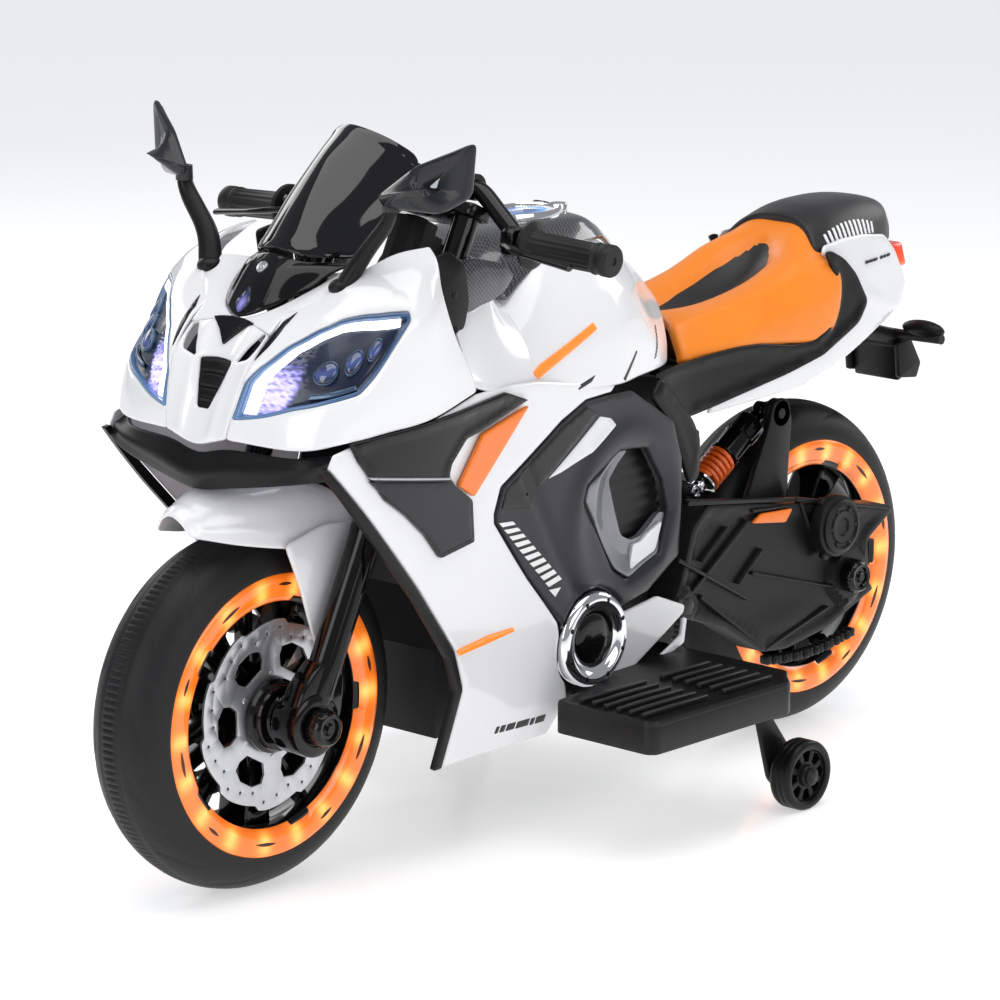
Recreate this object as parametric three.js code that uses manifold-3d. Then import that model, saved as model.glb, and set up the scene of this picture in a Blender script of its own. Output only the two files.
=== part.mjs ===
// Children's electric ride-on sport motorcycle with two stabiliser wheels.
// Millimetres; +X forward, +Y rider's left, +Z up; floor at z = 0, wheelbase centred on x = 0.
import * as THREE from 'three';
import { mergeVertices } from 'three/addons/utils/BufferGeometryUtils.js';
import { ConvexGeometry } from 'three/addons/geometries/ConvexGeometry.js';
import Module from 'manifold-3d';

const wasm = await Module();
wasm.setup();

// driving dimensions
const AXLE_X = 400;          // both axles lie this far from the middle
const AXLE_Z = 175;          // tyre radius, so also the axle height
const TYRE_HALF = 45;        // half the tyre width
const RAKE = 26;             // fork lean from the vertical, degrees
const FORK_Y = 85;           // fork tubes, out from the middle plane
const STEM_U = -24;          // steering axis behind the fork tubes
const PIVOT = [-136, 190];   // swingarm pivot, x and z
const GAP = 0.3;             // running clearance between parts
const DEG = Math.PI / 180;

// ---- solids -------------------------------------------------------------
// a closed three.js geometry that can be joined to and cut by others
class Solid {
  constructor(geometry) {
    const g = geometry.clone();
    for (const name of Object.keys(g.attributes)) if (name !== 'position') g.deleteAttribute(name);
    this.g = mergeVertices(g, 1e-4);
    if (this.manifold().volume() < 0) this.flip();
  }

  flip() {
    const { array } = this.g.index;
    for (let k = 0; k < array.length; k += 3) [array[k], array[k + 1]] = [array[k + 1], array[k]];
    return this;
  }

  manifold() {
    return new wasm.Manifold(new wasm.Mesh({
      numProp: 3, vertProperties: this.g.attributes.position.array, triVerts: new Uint32Array(this.g.index.array),
    }));
  }

  static of(m) {
    const { vertProperties, triVerts } = m.getMesh();
    const g = new THREE.BufferGeometry();
    g.setAttribute('position', new THREE.BufferAttribute(new Float32Array(vertProperties), 3));
    g.setIndex(new THREE.BufferAttribute(new Uint32Array(triVerts), 1));
    const s = Object.create(Solid.prototype);
    s.g = g;
    return s;
  }

  add(o) { return Solid.of(this.manifold().add(o.manifold())); }

  subtract(o) { return Solid.of(this.manifold().subtract(o.manifold())); }

  intersect(o) { return Solid.of(this.manifold().intersect(o.manifold())); }

  moved(matrix) {
    const s = Object.create(Solid.prototype);
    s.g = this.g.clone().applyMatrix4(matrix);
    return matrix.determinant() < 0 ? s.flip() : s;
  }

  translate([x, y, z]) { return this.moved(new THREE.Matrix4().makeTranslation(x, y, z)); }

  turnY(degrees) { return this.moved(new THREE.Matrix4().makeRotationY(degrees * DEG)); }

  mirrorY() { return this.moved(new THREE.Matrix4().makeScale(1, -1, 1)); }
}
const box = (x0, x1, y0, y1, z0, z1) => new Solid(
  new THREE.BoxGeometry(x1 - x0, y1 - y0, z1 - z0).translate((x0 + x1) / 2, (y0 + y1) / 2, (z0 + z1) / 2));
const pull = (pts, depth) => new THREE.ExtrudeGeometry(
  new THREE.Shape(pts.map(([x, y]) => new THREE.Vector2(x, y))), { depth, bevelEnabled: false });
// side-view outline (x, z) pulled from y0 to y1
const prism = (pts, y0, y1) => new Solid(pull(pts, y1 - y0).rotateX(Math.PI / 2).translate(0, y1, 0));
// plan outline (x, y) pulled from z0 to z1
const plan = (pts, z0, z1) => new Solid(pull(pts, z1 - z0).translate(0, 0, z0));
// front-view outline (y, z) pulled from x0 to x1
const bar = (pts, x0, x1) => new Solid(pull(pts, x1 - x0).rotateX(Math.PI / 2).rotateZ(Math.PI / 2).translate(x0, 0, 0));
const cylY = (r, y0, y1, x, z, n = 24, r2 = r) => new Solid(
  new THREE.CylinderGeometry(r2, r, y1 - y0, n).translate(x, (y0 + y1) / 2, z));
const cylZ = (r, z0, z1, x, y, n = 20) => new Solid(
  new THREE.CylinderGeometry(r, r, z1 - z0, n).rotateX(Math.PI / 2).translate(x, y, (z0 + z1) / 2));
const ball = (r, p, n = 8) => new Solid(new THREE.SphereGeometry(r, n, n / 2).translate(...p));
const rod = (p, q, r, n = 10, r2 = r) => {
  const a = new THREE.Vector3(...p), d = new THREE.Vector3(...q).sub(a);
  const turn = new THREE.Quaternion().setFromUnitVectors(new THREE.Vector3(0, 1, 0), d.clone().normalize());
  return new Solid(new THREE.CylinderGeometry(r2, r, d.length(), n).applyQuaternion(turn)
    .translate(...a.addScaledVector(d, 0.5).toArray()));
};
// closed profile (radius, y) turned about the Y axis
const lathe = (prof, n = 30) => new Solid(
  new THREE.LatheGeometry([...prof, prof[0]].map(([r, y]) => new THREE.Vector2(r, y)), n));
const sum = (...m) => m.reduce((a, b) => a.add(b));
// what is on the fork line is drawn upright and leaned back
const lean = (m) => m.turnY(-RAKE).translate([AXLE_X, 0, AXLE_Z]);

// ---- moulded skins --------------------------------------------------------
const V = (a) => new THREE.Vector3(...a);
const catmull = (P, t) => {
  const n = P.length - 1, s = Math.min(Math.floor(t * n), n - 1), f = t * n - s;
  const b = P[s], c = P[s + 1];
  const a = s > 0 ? P[s - 1] : b.clone().multiplyScalar(2).sub(c);
  const d = s + 2 <= n ? P[s + 2] : c.clone().multiplyScalar(2).sub(b);
  const o = new THREE.Vector3();
  for (const k of ['x', 'y', 'z']) {
    o[k] = 0.5 * (2 * b[k] + (c[k] - a[k]) * f + (2 * a[k] - 5 * b[k] + 4 * c[k] - d[k]) * f * f
      + (3 * b[k] - a[k] - 3 * c[k] + d[k]) * f ** 3);
  }
  return o;
};
const surface = (G) => {
  const rows = G.map((r) => r.map(V));
  return (u, v) => catmull(rows.map((r) => catmull(r, v)), u);
};
// closed sheet between two offsets of a surface; a > b are distances along the outward normal
const sheet = (G, nu, nv, a, b, out) => {
  const S = surface(G), e = 1e-3, pts = [], tri = [];
  const mid = S(0.501, 0.5).sub(S(0.499, 0.5)).cross(S(0.5, 0.501).sub(S(0.5, 0.499)));
  const sign = mid.dot(V(out)) < 0 ? -1 : 1;
  for (let side = 0; side < 2; side += 1) {
    for (let i = 0; i <= nu; i += 1) {
      for (let j = 0; j <= nv; j += 1) {
        const u = i / nu, v = j / nv, u1 = Math.min(u + e, 1), u0 = Math.max(u - e, 0);
        const v1 = Math.min(v + e, 1), v0 = Math.max(v - e, 0);
        const n = S(u1, v).sub(S(u0, v)).cross(S(u, v1).sub(S(u, v0))).normalize();
        const p = S(u, v).addScaledVector(n, sign * (side ? b : a));
        pts.push(p.x, p.y, p.z);
      }
    }
  }
  const N = (nu + 1) * (nv + 1), id = (s, i, j) => s * N + i * (nv + 1) + j;
  const quad = (p, q, r, s) => tri.push(p, q, r, p, r, s);
  for (let i = 0; i < nu; i += 1) {
    for (let j = 0; j < nv; j += 1) {
      quad(id(0, i, j), id(0, i + 1, j), id(0, i + 1, j + 1), id(0, i, j + 1));
      quad(id(1, i, j), id(1, i, j + 1), id(1, i + 1, j + 1), id(1, i + 1, j));
    }
  }
  for (let i = 0; i < nu; i += 1) {
    quad(id(0, i, 0), id(1, i, 0), id(1, i + 1, 0), id(0, i + 1, 0));
    quad(id(0, i, nv), id(0, i + 1, nv), id(1, i + 1, nv), id(1, i, nv));
  }
  for (let j = 0; j < nv; j += 1) {
    quad(id(0, 0, j), id(0, 0, j + 1), id(1, 0, j + 1), id(1, 0, j));
    quad(id(0, nu, j), id(1, nu, j), id(1, nu, j + 1), id(0, nu, j + 1));
  }
  const g = new THREE.BufferGeometry();
  g.setAttribute('position', new THREE.Float32BufferAttribute(pts, 3));
  g.setIndex(tri);
  return new Solid(g);
};
// a row over both sides from its right-hand half, middle point first
const across = (row) => [...row.slice(1).reverse().map(([x, y, z]) => [x, -y, z]), ...row];

// half width of the body sides, by height (rows) and by x (columns)
const SKIN_X = [-120, 0, 100, 200, 300, 400, 460];
const SKIN = [
  [90, [96, 101, 105, 104, 110, 124, 130]],
  [200, [103, 113, 124, 125, 131, 140, 142]],
  [300, [105, 117, 128, 133, 140, 146, 148]],
  [380, [102, 119, 131, 139, 147, 150, 150]],
  [460, [99, 119, 134, 145, 155, 151, 144]],
];
const skin = (a, b) => sheet(SKIN.map(([z, ys]) => ys.map((y, i) => [SKIN_X[i], y, z])), 7, 9, a, b, [0, 1, 0]);

const NOSE = [
  [[458, 40, 450], [440, 115, 448], [411, 150, 455], [360, 156, 458], [304, 158, 462], [233, 150, 477]],
  [[455, 44, 470], [432, 118, 474], [404, 152, 480], [358, 162, 486], [312, 164, 492], [244, 152, 500]],
  [[446, 48, 497], [418, 118, 505], [392, 150, 512], [356, 162, 518], [316, 166, 528], [262, 152, 530]],
  [[436, 52, 520], [400, 112, 538], [368, 142, 550], [345, 160, 560], [314, 165, 566], [280, 150, 578]],
  [[412, 56, 545], [385, 100, 562], [355, 122, 580], [330, 135, 592], [300, 138, 600], [268, 132, 604]],
  [[390, 52, 562], [372, 76, 574], [352, 92, 592], [325, 104, 606], [298, 110, 614], [262, 116, 616]],
];
const LENS = [[345, 571], [392, 556], [440, 524], [461, 474], [456, 464], [425, 478], [396, 500], [362, 535]];

// ---- scene graph ----------------------------------------------------------
const part = new THREE.Group();
part.name = 'ride_on_motorcycle';
const steering = new THREE.Group();       // upright on the fork line, then leaned back
steering.position.set(AXLE_X, 0, AXLE_Z);
steering.rotation.y = -RAKE * DEG;
const frontWheel = new THREE.Group();
frontWheel.position.set(AXLE_X, 0, AXLE_Z);
const rearWheel = new THREE.Group();
rearWheel.position.set(-AXLE_X, 0, AXLE_Z);
part.add(steering, frontWheel, rearWheel);

const material = (color, roughness, metalness = 0) => new THREE.MeshStandardMaterial({ color, roughness, metalness });
const WHITE = material(0xf2f2f3, 0.2);
const ORANGE = material(0xf47a12, 0.45);
const BLACK = material(0x101012, 0.45);
const GLOSS = material(0x08080a, 0.12);
const CHARCOAL = material(0x2b2c30, 0.35);
const RUBBER = material(0x161617, 0.75);
const STEEL = material(0xb8babd, 0.3, 1);
const CHROME = material(0xd8dadd, 0.1, 1);
const LAMP = material(0x3a4c9a, 0.1);

const put = (name, solid, look, group = part) => {
  const mesh = new THREE.Mesh(solid.g, look);
  mesh.name = name;
  group.add(mesh);
  return mesh;
};
// the left piece as drawn, and the right one as its mirror image
const pair = (name, solid, look, group = part) => {
  put(`${name}_left`, solid, look, group);
  put(`${name}_right`, solid, look, group).scale.y = -1;
};

// ---- wheels -----------------------------------------------------------------
const crown = [];
for (let i = -4; i <= 4; i += 1) {
  const y = TYRE_HALF * Math.sin((i * Math.PI) / 8.4);
  crown.push([AXLE_Z - 38.6 * (1 - Math.sqrt(Math.max(0, 1 - (y / TYRE_HALF) ** 2))), y]);
}
const tyre = lathe([...crown, [139, 44.6], [138 + GAP, 37], [128 + GAP, 35.1], [128 + GAP, -35.1], [138 + GAP, -37], [139, -44.6]]);
let rim = sum(lathe([[128, -35.7], [128, 35.7], [138, 37.6], [138, 41], [131, 43], [112, 43], [109, 40], [117, 32], [117, -32],
  [109, -40], [112, -43], [131, -43], [138, -41], [138, -37.6]]), cylY(33, -58, 58, 0, 0, 20));
for (let k = 0; k < 5; k += 1) {
  rim = rim.add(prism([[24, -17], [60, -12], [118, -20], [118, 20], [60, 12], [24, 17]], -13, 13).turnY(k * 72));
}
rim = rim.subtract(cylY(8 + GAP, -80, 80, 0, 0, 16));
// drilled wave disc
const wave = [];
for (let k = 0; k < 40; k += 1) {
  const t = (k / 40) * 2 * Math.PI, r = 90 + 2.5 * Math.cos(10 * t);
  wave.push([r * Math.cos(t), r * Math.sin(t)]);
}
let disc = prism(wave, 36, 39).subtract(cylY(33.6, 30, 45, 0, 0, 20));
for (let k = 0; k < 6; k += 1) {
  disc = disc.subtract(prism([[46, -12], [66, -17], [71, 0], [66, 17], [46, 12]], 30, 45).turnY(k * 60));
}
put('front_tyre', tyre, RUBBER, frontWheel);
put('front_rim', rim, GLOSS, frontWheel);
pair('front_disc', disc, STEEL, frontWheel);
put('rear_tyre', tyre, RUBBER, rearWheel);
put('rear_rim', rim, GLOSS, rearWheel);

// ---- steering -------------------------------------------------------------
const leg = sum(rod([0, FORK_Y, 20], [0, FORK_Y, 190], 16, 16), rod([0, FORK_Y, 180], [0, FORK_Y, 509], 13, 16), cylY(30, 66, 100, 0, 0, 20))
  .subtract(cylY(8 + GAP, 60, 110, 0, 0, 16));
pair('fork', leg, GLOSS, steering);
const cap = cylY(18, 100 + GAP, 118, 0, 0, 16, 15);
put('front_axle', sum(cylY(8, -117, 117, 0, 0, 16), cap, cap.mirrorY()), BLACK, steering);
const yokeHole = sum(rod([0, FORK_Y, 250], [0, FORK_Y, 600], 13 + GAP, 16), rod([0, -FORK_Y, 250], [0, -FORK_Y, 600], 13 + GAP, 16));
const yokePlate = (w0, w1) => plan([[-44, -34], [-14, -104], [16, -104], [20, -70], [8, -30], [8, 30], [20, 70],
  [16, 104], [-14, 104], [-44, 34]], w0, w1);
put('lower_yoke', sum(yokePlate(318, 334), rod([STEM_U, 0, 330], [STEM_U, 0, 503], 12, 16)).subtract(yokeHole), BLACK, steering);
// point on the straight outer end of a handlebar, y out from the middle
const barAt = (s, y) => [172 - (9 / 106) * (y - 150), s * y, 611 - (6 / 106) * (y - 150)];
const barRod = (s) => sum(rod([166, s * 20, 657], [168, s * 92, 657], 9), ball(9, [168, s * 92, 657]),
  rod([168, s * 92, 657], [172, s * 150, 611], 9), ball(9, [172, s * 150, 611]), rod([172, s * 150, 611], barAt(s, 256), 9));
put('handlebar', sum(rod([166, -22, 657], [166, 22, 657], 9), barRod(1), barRod(-1),
  lean(yokePlate(505, 517).subtract(yokeHole)), lean(box(-26, 0, -30, 30, 516, 538))), BLACK);
const grip = (s) => sum(rod(barAt(s, 162), barAt(s, 258.5), 14, 16), rod(barAt(s, 160), barAt(s, 165), 23, 20))
  .subtract(rod(barAt(s, 150), barAt(s, 256.5), 9.8));
put('grip_left', grip(1), RUBBER);
put('throttle_grip', grip(-1), RUBBER);

// front mudguard: one moulding with a leg down each side to the fork
const GUARD = [
  [[492, 0, 380], [491, 14, 374], [488, 24, 361]],
  [[455, 0, 394], [452, 28, 384], [445, 44, 349]],
  [[410, 0, 402], [408, 40, 388], [400, 58, 340]],
  [[360, 0, 399], [358, 46, 386], [352, 63, 332]],
  [[300, 0, 375], [298, 50, 366], [294, 63, 347]],
];
const guardLeg = prism([[402, 342], [384, 300], [372, 262], [352, 228], [341, 231], [330, 262], [320, 312], [296, 350], [350, 352]], 60, 63.5);
put('front_fender', sum(sheet(GUARD.map(across), 8, 8, 0, -3, [0, 0, 1]), guardLeg, guardLeg.mirrorY()), WHITE);

// ---- main frame --------------------------------------------------------------
const neckOuter = lean(rod([STEM_U, 0, 337], [STEM_U, 0, 500], 22, 20));
const body = prism([[196, 112], [196, 200], [170, 250], [170, 440], [120, 455], [-40, 440], [-150, 420], [-162, 390],
  [-162, 150], [-120, 112]], -58, 58);
const neck = lean(prism([[-24, 352], [-24, 490], [-44, 490], [-46, 440], [-100, 380], [-140, 372], [-150, 290], [-84, 290],
  [-74, 345], [-50, 352]], -22, 22));
const rail = prism([[-120, 385], [-300, 396], [-486, 408], [-486, 430], [-300, 428], [-120, 430]], 30, 44);
let frame = sum(body, neck, neckOuter, rail, rail.mirrorY(), box(-486, -462, -44, 44, 410, 430),
  box(-330, -306, -44, 44, 398, 426));
// shock lug, reaching back over the swingarm bridge
frame = frame.add(prism([[-150, 310], [-206, 300], [-221, 294], [-222, 282], [-214, 278], [-150, 270]], 22, 31));
frame = frame.subtract(box(-152, -40, -46, 46, 330, 460))            // battery well, open to the seat
  .subtract(box(0, 96, -46, 46, 350, 470))                            // controller well
  .subtract(box(-20, 150, -46, 46, 60, 320))                          // hollow belly, open below
  .subtract(lean(rod([STEM_U, 0, 300], [STEM_U, 0, 540], 12 + GAP, 16)))
  .subtract(cylY(7 + GAP, -80, 80, PIVOT[0], PIVOT[1], 16))
  .subtract(cylY(5 + GAP, 20, 60, -213, 288, 16));
put('main_frame', frame, BLACK);
put('battery', sum(box(-150, -42, -44, 44, 330 + GAP, 420), box(-130, -118, -30, -18, 415, 428), box(-130, -118, 18, 30, 415, 428)), CHARCOAL);

// ---- side bodywork -----------------------------------------------------------
const sideOutline = [[239, 101], [225, 180], [244, 224], [303, 296], [379, 379], [431, 434], [424, 446], [400, 451],
  [304, 455], [233, 468], [163, 460], [140, 446], [45, 441], [120, 424], [191, 406], [208, 388], [179, 341], [128, 262], [85, 202],
  [62, 135], [88, 103]];
const boss = (x, z, r, y1) => cylY(r, 58 + GAP, y1, x, z, 14);
const bossed = (shell, list) => list.reduce((m, [x, z, y]) => m.add(boss(x, z, 9, y)), shell);
pair('side_fairing', bossed(skin(0, -3.2).intersect(prism(sideOutline, 60, 200)).subtract(cylY(48.6, 60, 200, 38, 194, 24)),
  [[160, 200, 122], [150, 130, 109]]), WHITE);
pair('intake_trim', skin(6, 0.4).intersect(prism([[404, 446], [206, 462], [174, 452], [236, 400], [318, 345], [300, 360], [276, 389]], 60, 200)), GLOSS);
const engineOutline = [[118, 410], [60, 434], [20, 437], [-30, 433], [-104, 390], [-118, 350], [-112, 250], [-60, 222], [-8, 214], [30, 205],
  [78, 240], [120, 262], [172, 341], [200, 388], [186, 401]];
let engine = skin(1, -3).intersect(prism(engineOutline, 60, 200));
engine = engine.subtract(prism([[24, 362], [-36, 378], [-78, 350], [-84, 268], [-52, 246], [-10, 268]], 60, 200))
  .subtract(cylY(50, 60, 200, 38, 194, 24));
pair('engine_cover', bossed(engine, [[90, 330, 127], [-98, 320, 106]]), CHARCOAL);
const ring = lathe([[30, 0], [48, 0], [48, 8], [44, 12], [34, 12], [30, 8]], 24).translate([38, 118, 194]);
pair('chrome_ring', sum(ring, cylY(28, 58 + GAP, 120, 38, 194, 16), cylY(31, 118, 122, 38, 194, 24)), CHROME);

// nose: two side shells with a lamp each, and the middle piece between them
// a side-view outline drawn in by d (out, where d is negative) and pulled from y0 to y1
const inset = (pts, d, y0, y1) => {
  const P = THREE.ShapeUtils.isClockWise(pts.map(([x, y]) => new THREE.Vector2(x, y))) ? [...pts].reverse() : pts, n = P.length;
  return prism(P.map((p, i) => {
    const a = P[(i + n - 1) % n], b = P[(i + 1) % n];
    const u = new THREE.Vector2(p[0] - a[0], p[1] - a[1]).normalize(), v = new THREE.Vector2(b[0] - p[0], b[1] - p[1]).normalize();
    const k = d / Math.max(0.3, 1 + u.dot(v));
    return [p[0] - (u.y + v.y) * k, p[1] + (u.x + v.x) * k];
  }), y0, y1);
};
const noseFill = sheet(NOSE, 8, 10, 0.9, -40, [1, 0.6, 0.3]);
const noseSide = sum(noseFill, noseFill.translate([0, -0.6, 0]), noseFill.translate([1.5, -0.6, 0]));
pair('nose_fairing', sheet(NOSE, 8, 10, 0, -3, [1, 0.6, 0.3]).subtract(prism(LENS, 30, 200)), WHITE);
pair('headlight', sheet(NOSE, 8, 10, -0.4, -20, [1, 0.6, 0.3]).intersect(inset(LENS, 0.5, 30, 200)), LAMP);
const NOSE_MID = [
  [[461, 0, 442], [458, 39.4, 450]],
  [[449, 0, 473], [455, 43.4, 470]],
  [[436, 0, 500], [446, 47.4, 497]],
  [[421, 0, 527], [436, 51.4, 520]],
  [[401, 0, 553], [411, 52, 545]],
];
const diamond = (d) => bar([[0, 550 + d], [13 + d, 541], [0, 520 - d], [-13 - d, 541]], 360, 460);
put('nose_center', sheet(NOSE_MID.map(across), 4, 6, 0, -3, [1, 0, 0.3]).subtract(diamond(0.4)).subtract(noseSide).subtract(noseSide.mirrorY()), WHITE);
put('centre_light', sheet(NOSE_MID.map(across), 4, 6, 0, -8, [1, 0, 0.3]).intersect(diamond(0)), LAMP);

// chin scoop and the black edging that runs down the front of each side fairing
const CHIN = [
  [[457, 0, 434], [454, 42, 441], [437, 108, 440], [409, 143, 444]],
  [[462, 0, 415], [458, 50, 424], [442, 112, 430], [424, 144, 436]],
  [[458, 0, 398], [455, 55, 406], [446, 110, 416], [433, 147, 425]],
];
const edging = skin(-0.6, -5).intersect(prism([[432.6, 434.5], [441, 433], [388, 371], [312, 288], [256, 218],
  [238, 180], [252, 101], [240, 101], [226, 180], [245, 223.5], [304, 295], [380, 378]], 60, 200));
const sideFill = skin(0.5, -3.7).intersect(inset(sideOutline, -0.4, 60, 200));
put('chin_scoop', sum(sheet(CHIN.map(across), 4, 12, 0, -4, [1, 0, 0]).subtract(sideFill).subtract(sideFill.mirrorY()),
  edging, edging.mirrorY()), BLACK);

// screen, its cowl and the two mirrors
const SCREEN = [
  [[352, 0, 613], [340, 35, 607], [300, 62, 603]],
  [[318, 0, 655], [300, 38, 646], [262, 62, 628]],
  [[282, 0, 692], [262, 38, 680], [225, 64, 655]],
  [[247, 0, 718], [232, 36, 708], [200, 60, 684]],
];
const COWL = [
  [[398, 0, 560], [384, 30, 568], [352, 50, 582]],
  [[374, 0, 590], [362, 30, 594], [322, 58, 596]],
  [[354, 0, 608], [343, 33, 602], [300, 60, 598]],
];
put('windscreen', sheet(SCREEN.map(across), 6, 8, 0, -3, [1, 0, 0.8]), GLOSS);
put('screen_cowl', sheet(COWL.map(across), 4, 8, 0, -3, [1, 0, 0.8]), GLOSS);
const stalk = sum(rod([354, 86, 576], [339, 101, 612], 9, 10, 7), ball(7, [339, 101, 612]),
  rod([339, 101, 612], [336, 138, 654], 6.5, 10, 5), ball(5, [336, 138, 654]), rod([336, 138, 652], [336, 138, 674], 3.4));
pair('mirror_stalk', stalk.subtract(noseFill).subtract(noseFill.translate([0, 0, 2])), BLACK);
// mirror head: a kite-shaped shell, glass face to the rear, turning on the pin
const kite = [[344, 128, 674], [328, 162, 704], [304, 213, 728], [307, 209, 677], [318, 183, 660], [340, 134, 663]];
const head = new Solid(new ConvexGeometry([...kite.map(([x, y, z]) => [x - 3, y - 1, z]), ...kite.map(([x, y, z]) => [x + 3, y + 1, z]),
  [342, 158, 686], [350, 146, 672], [332, 180, 688], [326, 140, 672], [330, 134, 670]].map((p) => V(p))));
pair('mirror_head', head.subtract(rod([336, 138, 640], [336, 138, 677], 5.6, 16)), BLACK);

// ---- tank, dash and controls ---------------------------------------------------
const TANK = [
  [[134, 0, 560], [134, 45, 555], [134, 90, 530], [134, 120, 495], [134, 132, 463]],
  [[80, 0, 585], [80, 50, 580], [80, 95, 550], [80, 122, 505], [80, 130, 452]],
  [[0, 0, 592], [0, 50, 588], [0, 95, 555], [0, 120, 505], [0, 122, 443]],
  [[-60, 0, 578], [-60, 50, 566], [-58, 88, 530], [-54, 106, 490], [-50, 108, 443]],
  [[-105, 0, 556], [-104, 42, 543], [-100, 74, 505], [-96, 92, 470], [-94, 94, 443]],
  [[-150, 0, 522], [-148, 34, 508], [-140, 56, 490], [-128, 74, 466], [-120, 82, 443]],
];
const tankFill = sheet(TANK.map(across), 8, 12, 0.4, -40, [0, 0, 1]);
put('tank_cover', sheet(TANK.map(across), 8, 12, 0, -3, [0, 0, 1]).subtract(box(-200, 200, -200, 200, 0, 446.5)), WHITE);
const BUTTON = [-46, 0];
const SWITCH = [-46, -26];
const dash = prism([[96, 575], [88, 596], [60, 603], [-50, 603], [-72, 592], [-90, 572], [-90, 560], [96, 560]], -46, 46)
  .subtract(tankFill)
  .subtract(cylZ(9.4, 594, 640, BUTTON[0], BUTTON[1]))
  .subtract(box(SWITCH[0] - 9.5, SWITCH[0] + 9.5, SWITCH[1] - 6.5, SWITCH[1] + 6.5, 596, 640));
put('dash_panel', dash, BLACK);
put('start_button', cylZ(9, 597, 607, BUTTON[0], BUTTON[1]), CHROME);
put('direction_switch', prism([[-8.5, -1.5], [-9, 3], [0, 5.5], [9, 3], [8.5, -1.5], [0, -4]], -6, 6)
  .translate([SWITCH[0], SWITCH[1], 601]), BLACK);

// ---- seat and tail --------------------------------------------------------------
const SEAT = [
  [[-184, 0, 483], [-172, 30, 484], [-155, 60, 470], [-145, 82, 440]],
  [[-235, 0, 476], [-230, 40, 486], [-225, 72, 478], [-228, 85, 438]],
  [[-300, 0, 486], [-300, 45, 500], [-300, 76, 488], [-305, 86, 438]],
  [[-350, 0, 516], [-352, 45, 528], [-355, 72, 512], [-365, 86, 440]],
  [[-392, 0, 548], [-393, 38, 548], [-396, 62, 524], [-408, 80, 480]],
];
const cushionCore = prism([[-170, 438], [-380, 438], [-384, 500], [-340, 490], [-300, 476], [-230, 466], [-180, 468]], -56, 56);
put('seat_cushion', sheet(SEAT.map(across), 8, 10, 0, -14, [0, 0, 1]).add(cushionCore).subtract(box(-600, 0, -200, 200, 0, 438)), ORANGE);
const trimOutline = [[-88, 436], [-146, 382], [-260, 392], [-370, 414], [-432, 436], [-474, 484], [-462, 500], [-420, 470], [-372, 437.6]];
const trimSide = prism(trimOutline, 79, 84);
put('seat_base', sum(trimSide, trimSide.mirrorY(), box(-372, -158, -84, 84, 431, 437.6)), BLACK);
put('tail_pad', prism([[-412, 540], [-414, 556], [-470, 564], [-540, 556], [-566, 541], [-562, 533], [-512, 531]], -38, 38), BLACK);
const tailOutline = [[-193, 377], [-186, 381], [-260, 390.6], [-370, 412.6], [-434, 434], [-476, 484], [-463, 502], [-424, 476], [-414, 530],
  [-512, 528], [-560, 524], [-574, 500], [-570, 476], [-530, 452], [-445, 416], [-323, 380]];
const tailSkin = sheet([
  [[-180, 82, 360], [-320, 84, 360], [-440, 80, 360], [-520, 62, 360], [-580, 44, 360]],
  [[-180, 82, 450], [-320, 84, 450], [-440, 80, 450], [-520, 64, 450], [-580, 46, 450]],
  [[-180, 70, 540], [-320, 72, 540], [-440, 68, 540], [-520, 50, 540], [-580, 36, 540]],
], 4, 8, 0, -4, [0, 1, 0]);
const tailRail = prism([[-440, 428], [-470, 432], [-470, 418], [-440, 418]], 44.4, 79);
pair('tail_fairing', tailSkin.intersect(prism(tailOutline, 20, 120)).add(tailRail), WHITE);
put('tail_light', prism([[-540, 498], [-566, 506], [-571, 490], [-560, 474], [-540, 478]], -36, 36), ORANGE);
put('plate_bracket', sum(prism([[-487, 409], [-487, 428], [-520, 420], [-574, 400], [-574, 352], [-568, 352], [-562, 392], [-520, 404]], -30, 30),
  box(-570, -556, -92, 92, 398, 410)), BLACK);

// ---- rear suspension -----------------------------------------------------------
const armOutline = [[-118, 196], [-128, 212], [-150, 262], [-200, 290], [-330, 262], [-470, 240], [-476, 228], [-424, 196], [-432, 160], [-448, 150],
  [-380, 112], [-290, 112], [-200, 150], [-150, 170], [-124, 178]];
const arm = prism(armOutline, 61, 98);
const bridge = prism([[-180, 160], [-180, 250], [-214, 250], [-220, 200], [-214, 160]], -70, 70);
const tower = prism([[-260, 270], [-300, 345], [-308, 372], [-330, 374], [-338, 350], [-330, 262]], 61, 68);
let swing = sum(arm, arm.mirrorY(), bridge, tower, cylY(15, 54, 68, -321, 358, 20));
swing = swing.subtract(cylY(8 + GAP, -120, 120, -AXLE_X, AXLE_Z, 16))
  .subtract(cylY(7 + GAP, 61, 120, PIVOT[0], PIVOT[1], 20))
  .subtract(cylY(7 + GAP, -120, -61, PIVOT[0], PIVOT[1], 20))
  .subtract(cylY(5 + GAP, 50, 80, -321, 358, 16));
put('swingarm', swing, BLACK);
put('motor_housing', sum(cylY(33, 98 + GAP, 112, -366, 236, 20), cylY(29, 111, 118, -366, 236, 20, 24)), BLACK);
const rearCap = cylY(18, 98 + GAP, 116, 0, 0, 16, 15);
put('rear_axle', sum(cylY(8, -112, 112, 0, 0, 16), rearCap, rearCap.mirrorY()), BLACK, rearWheel);
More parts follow.
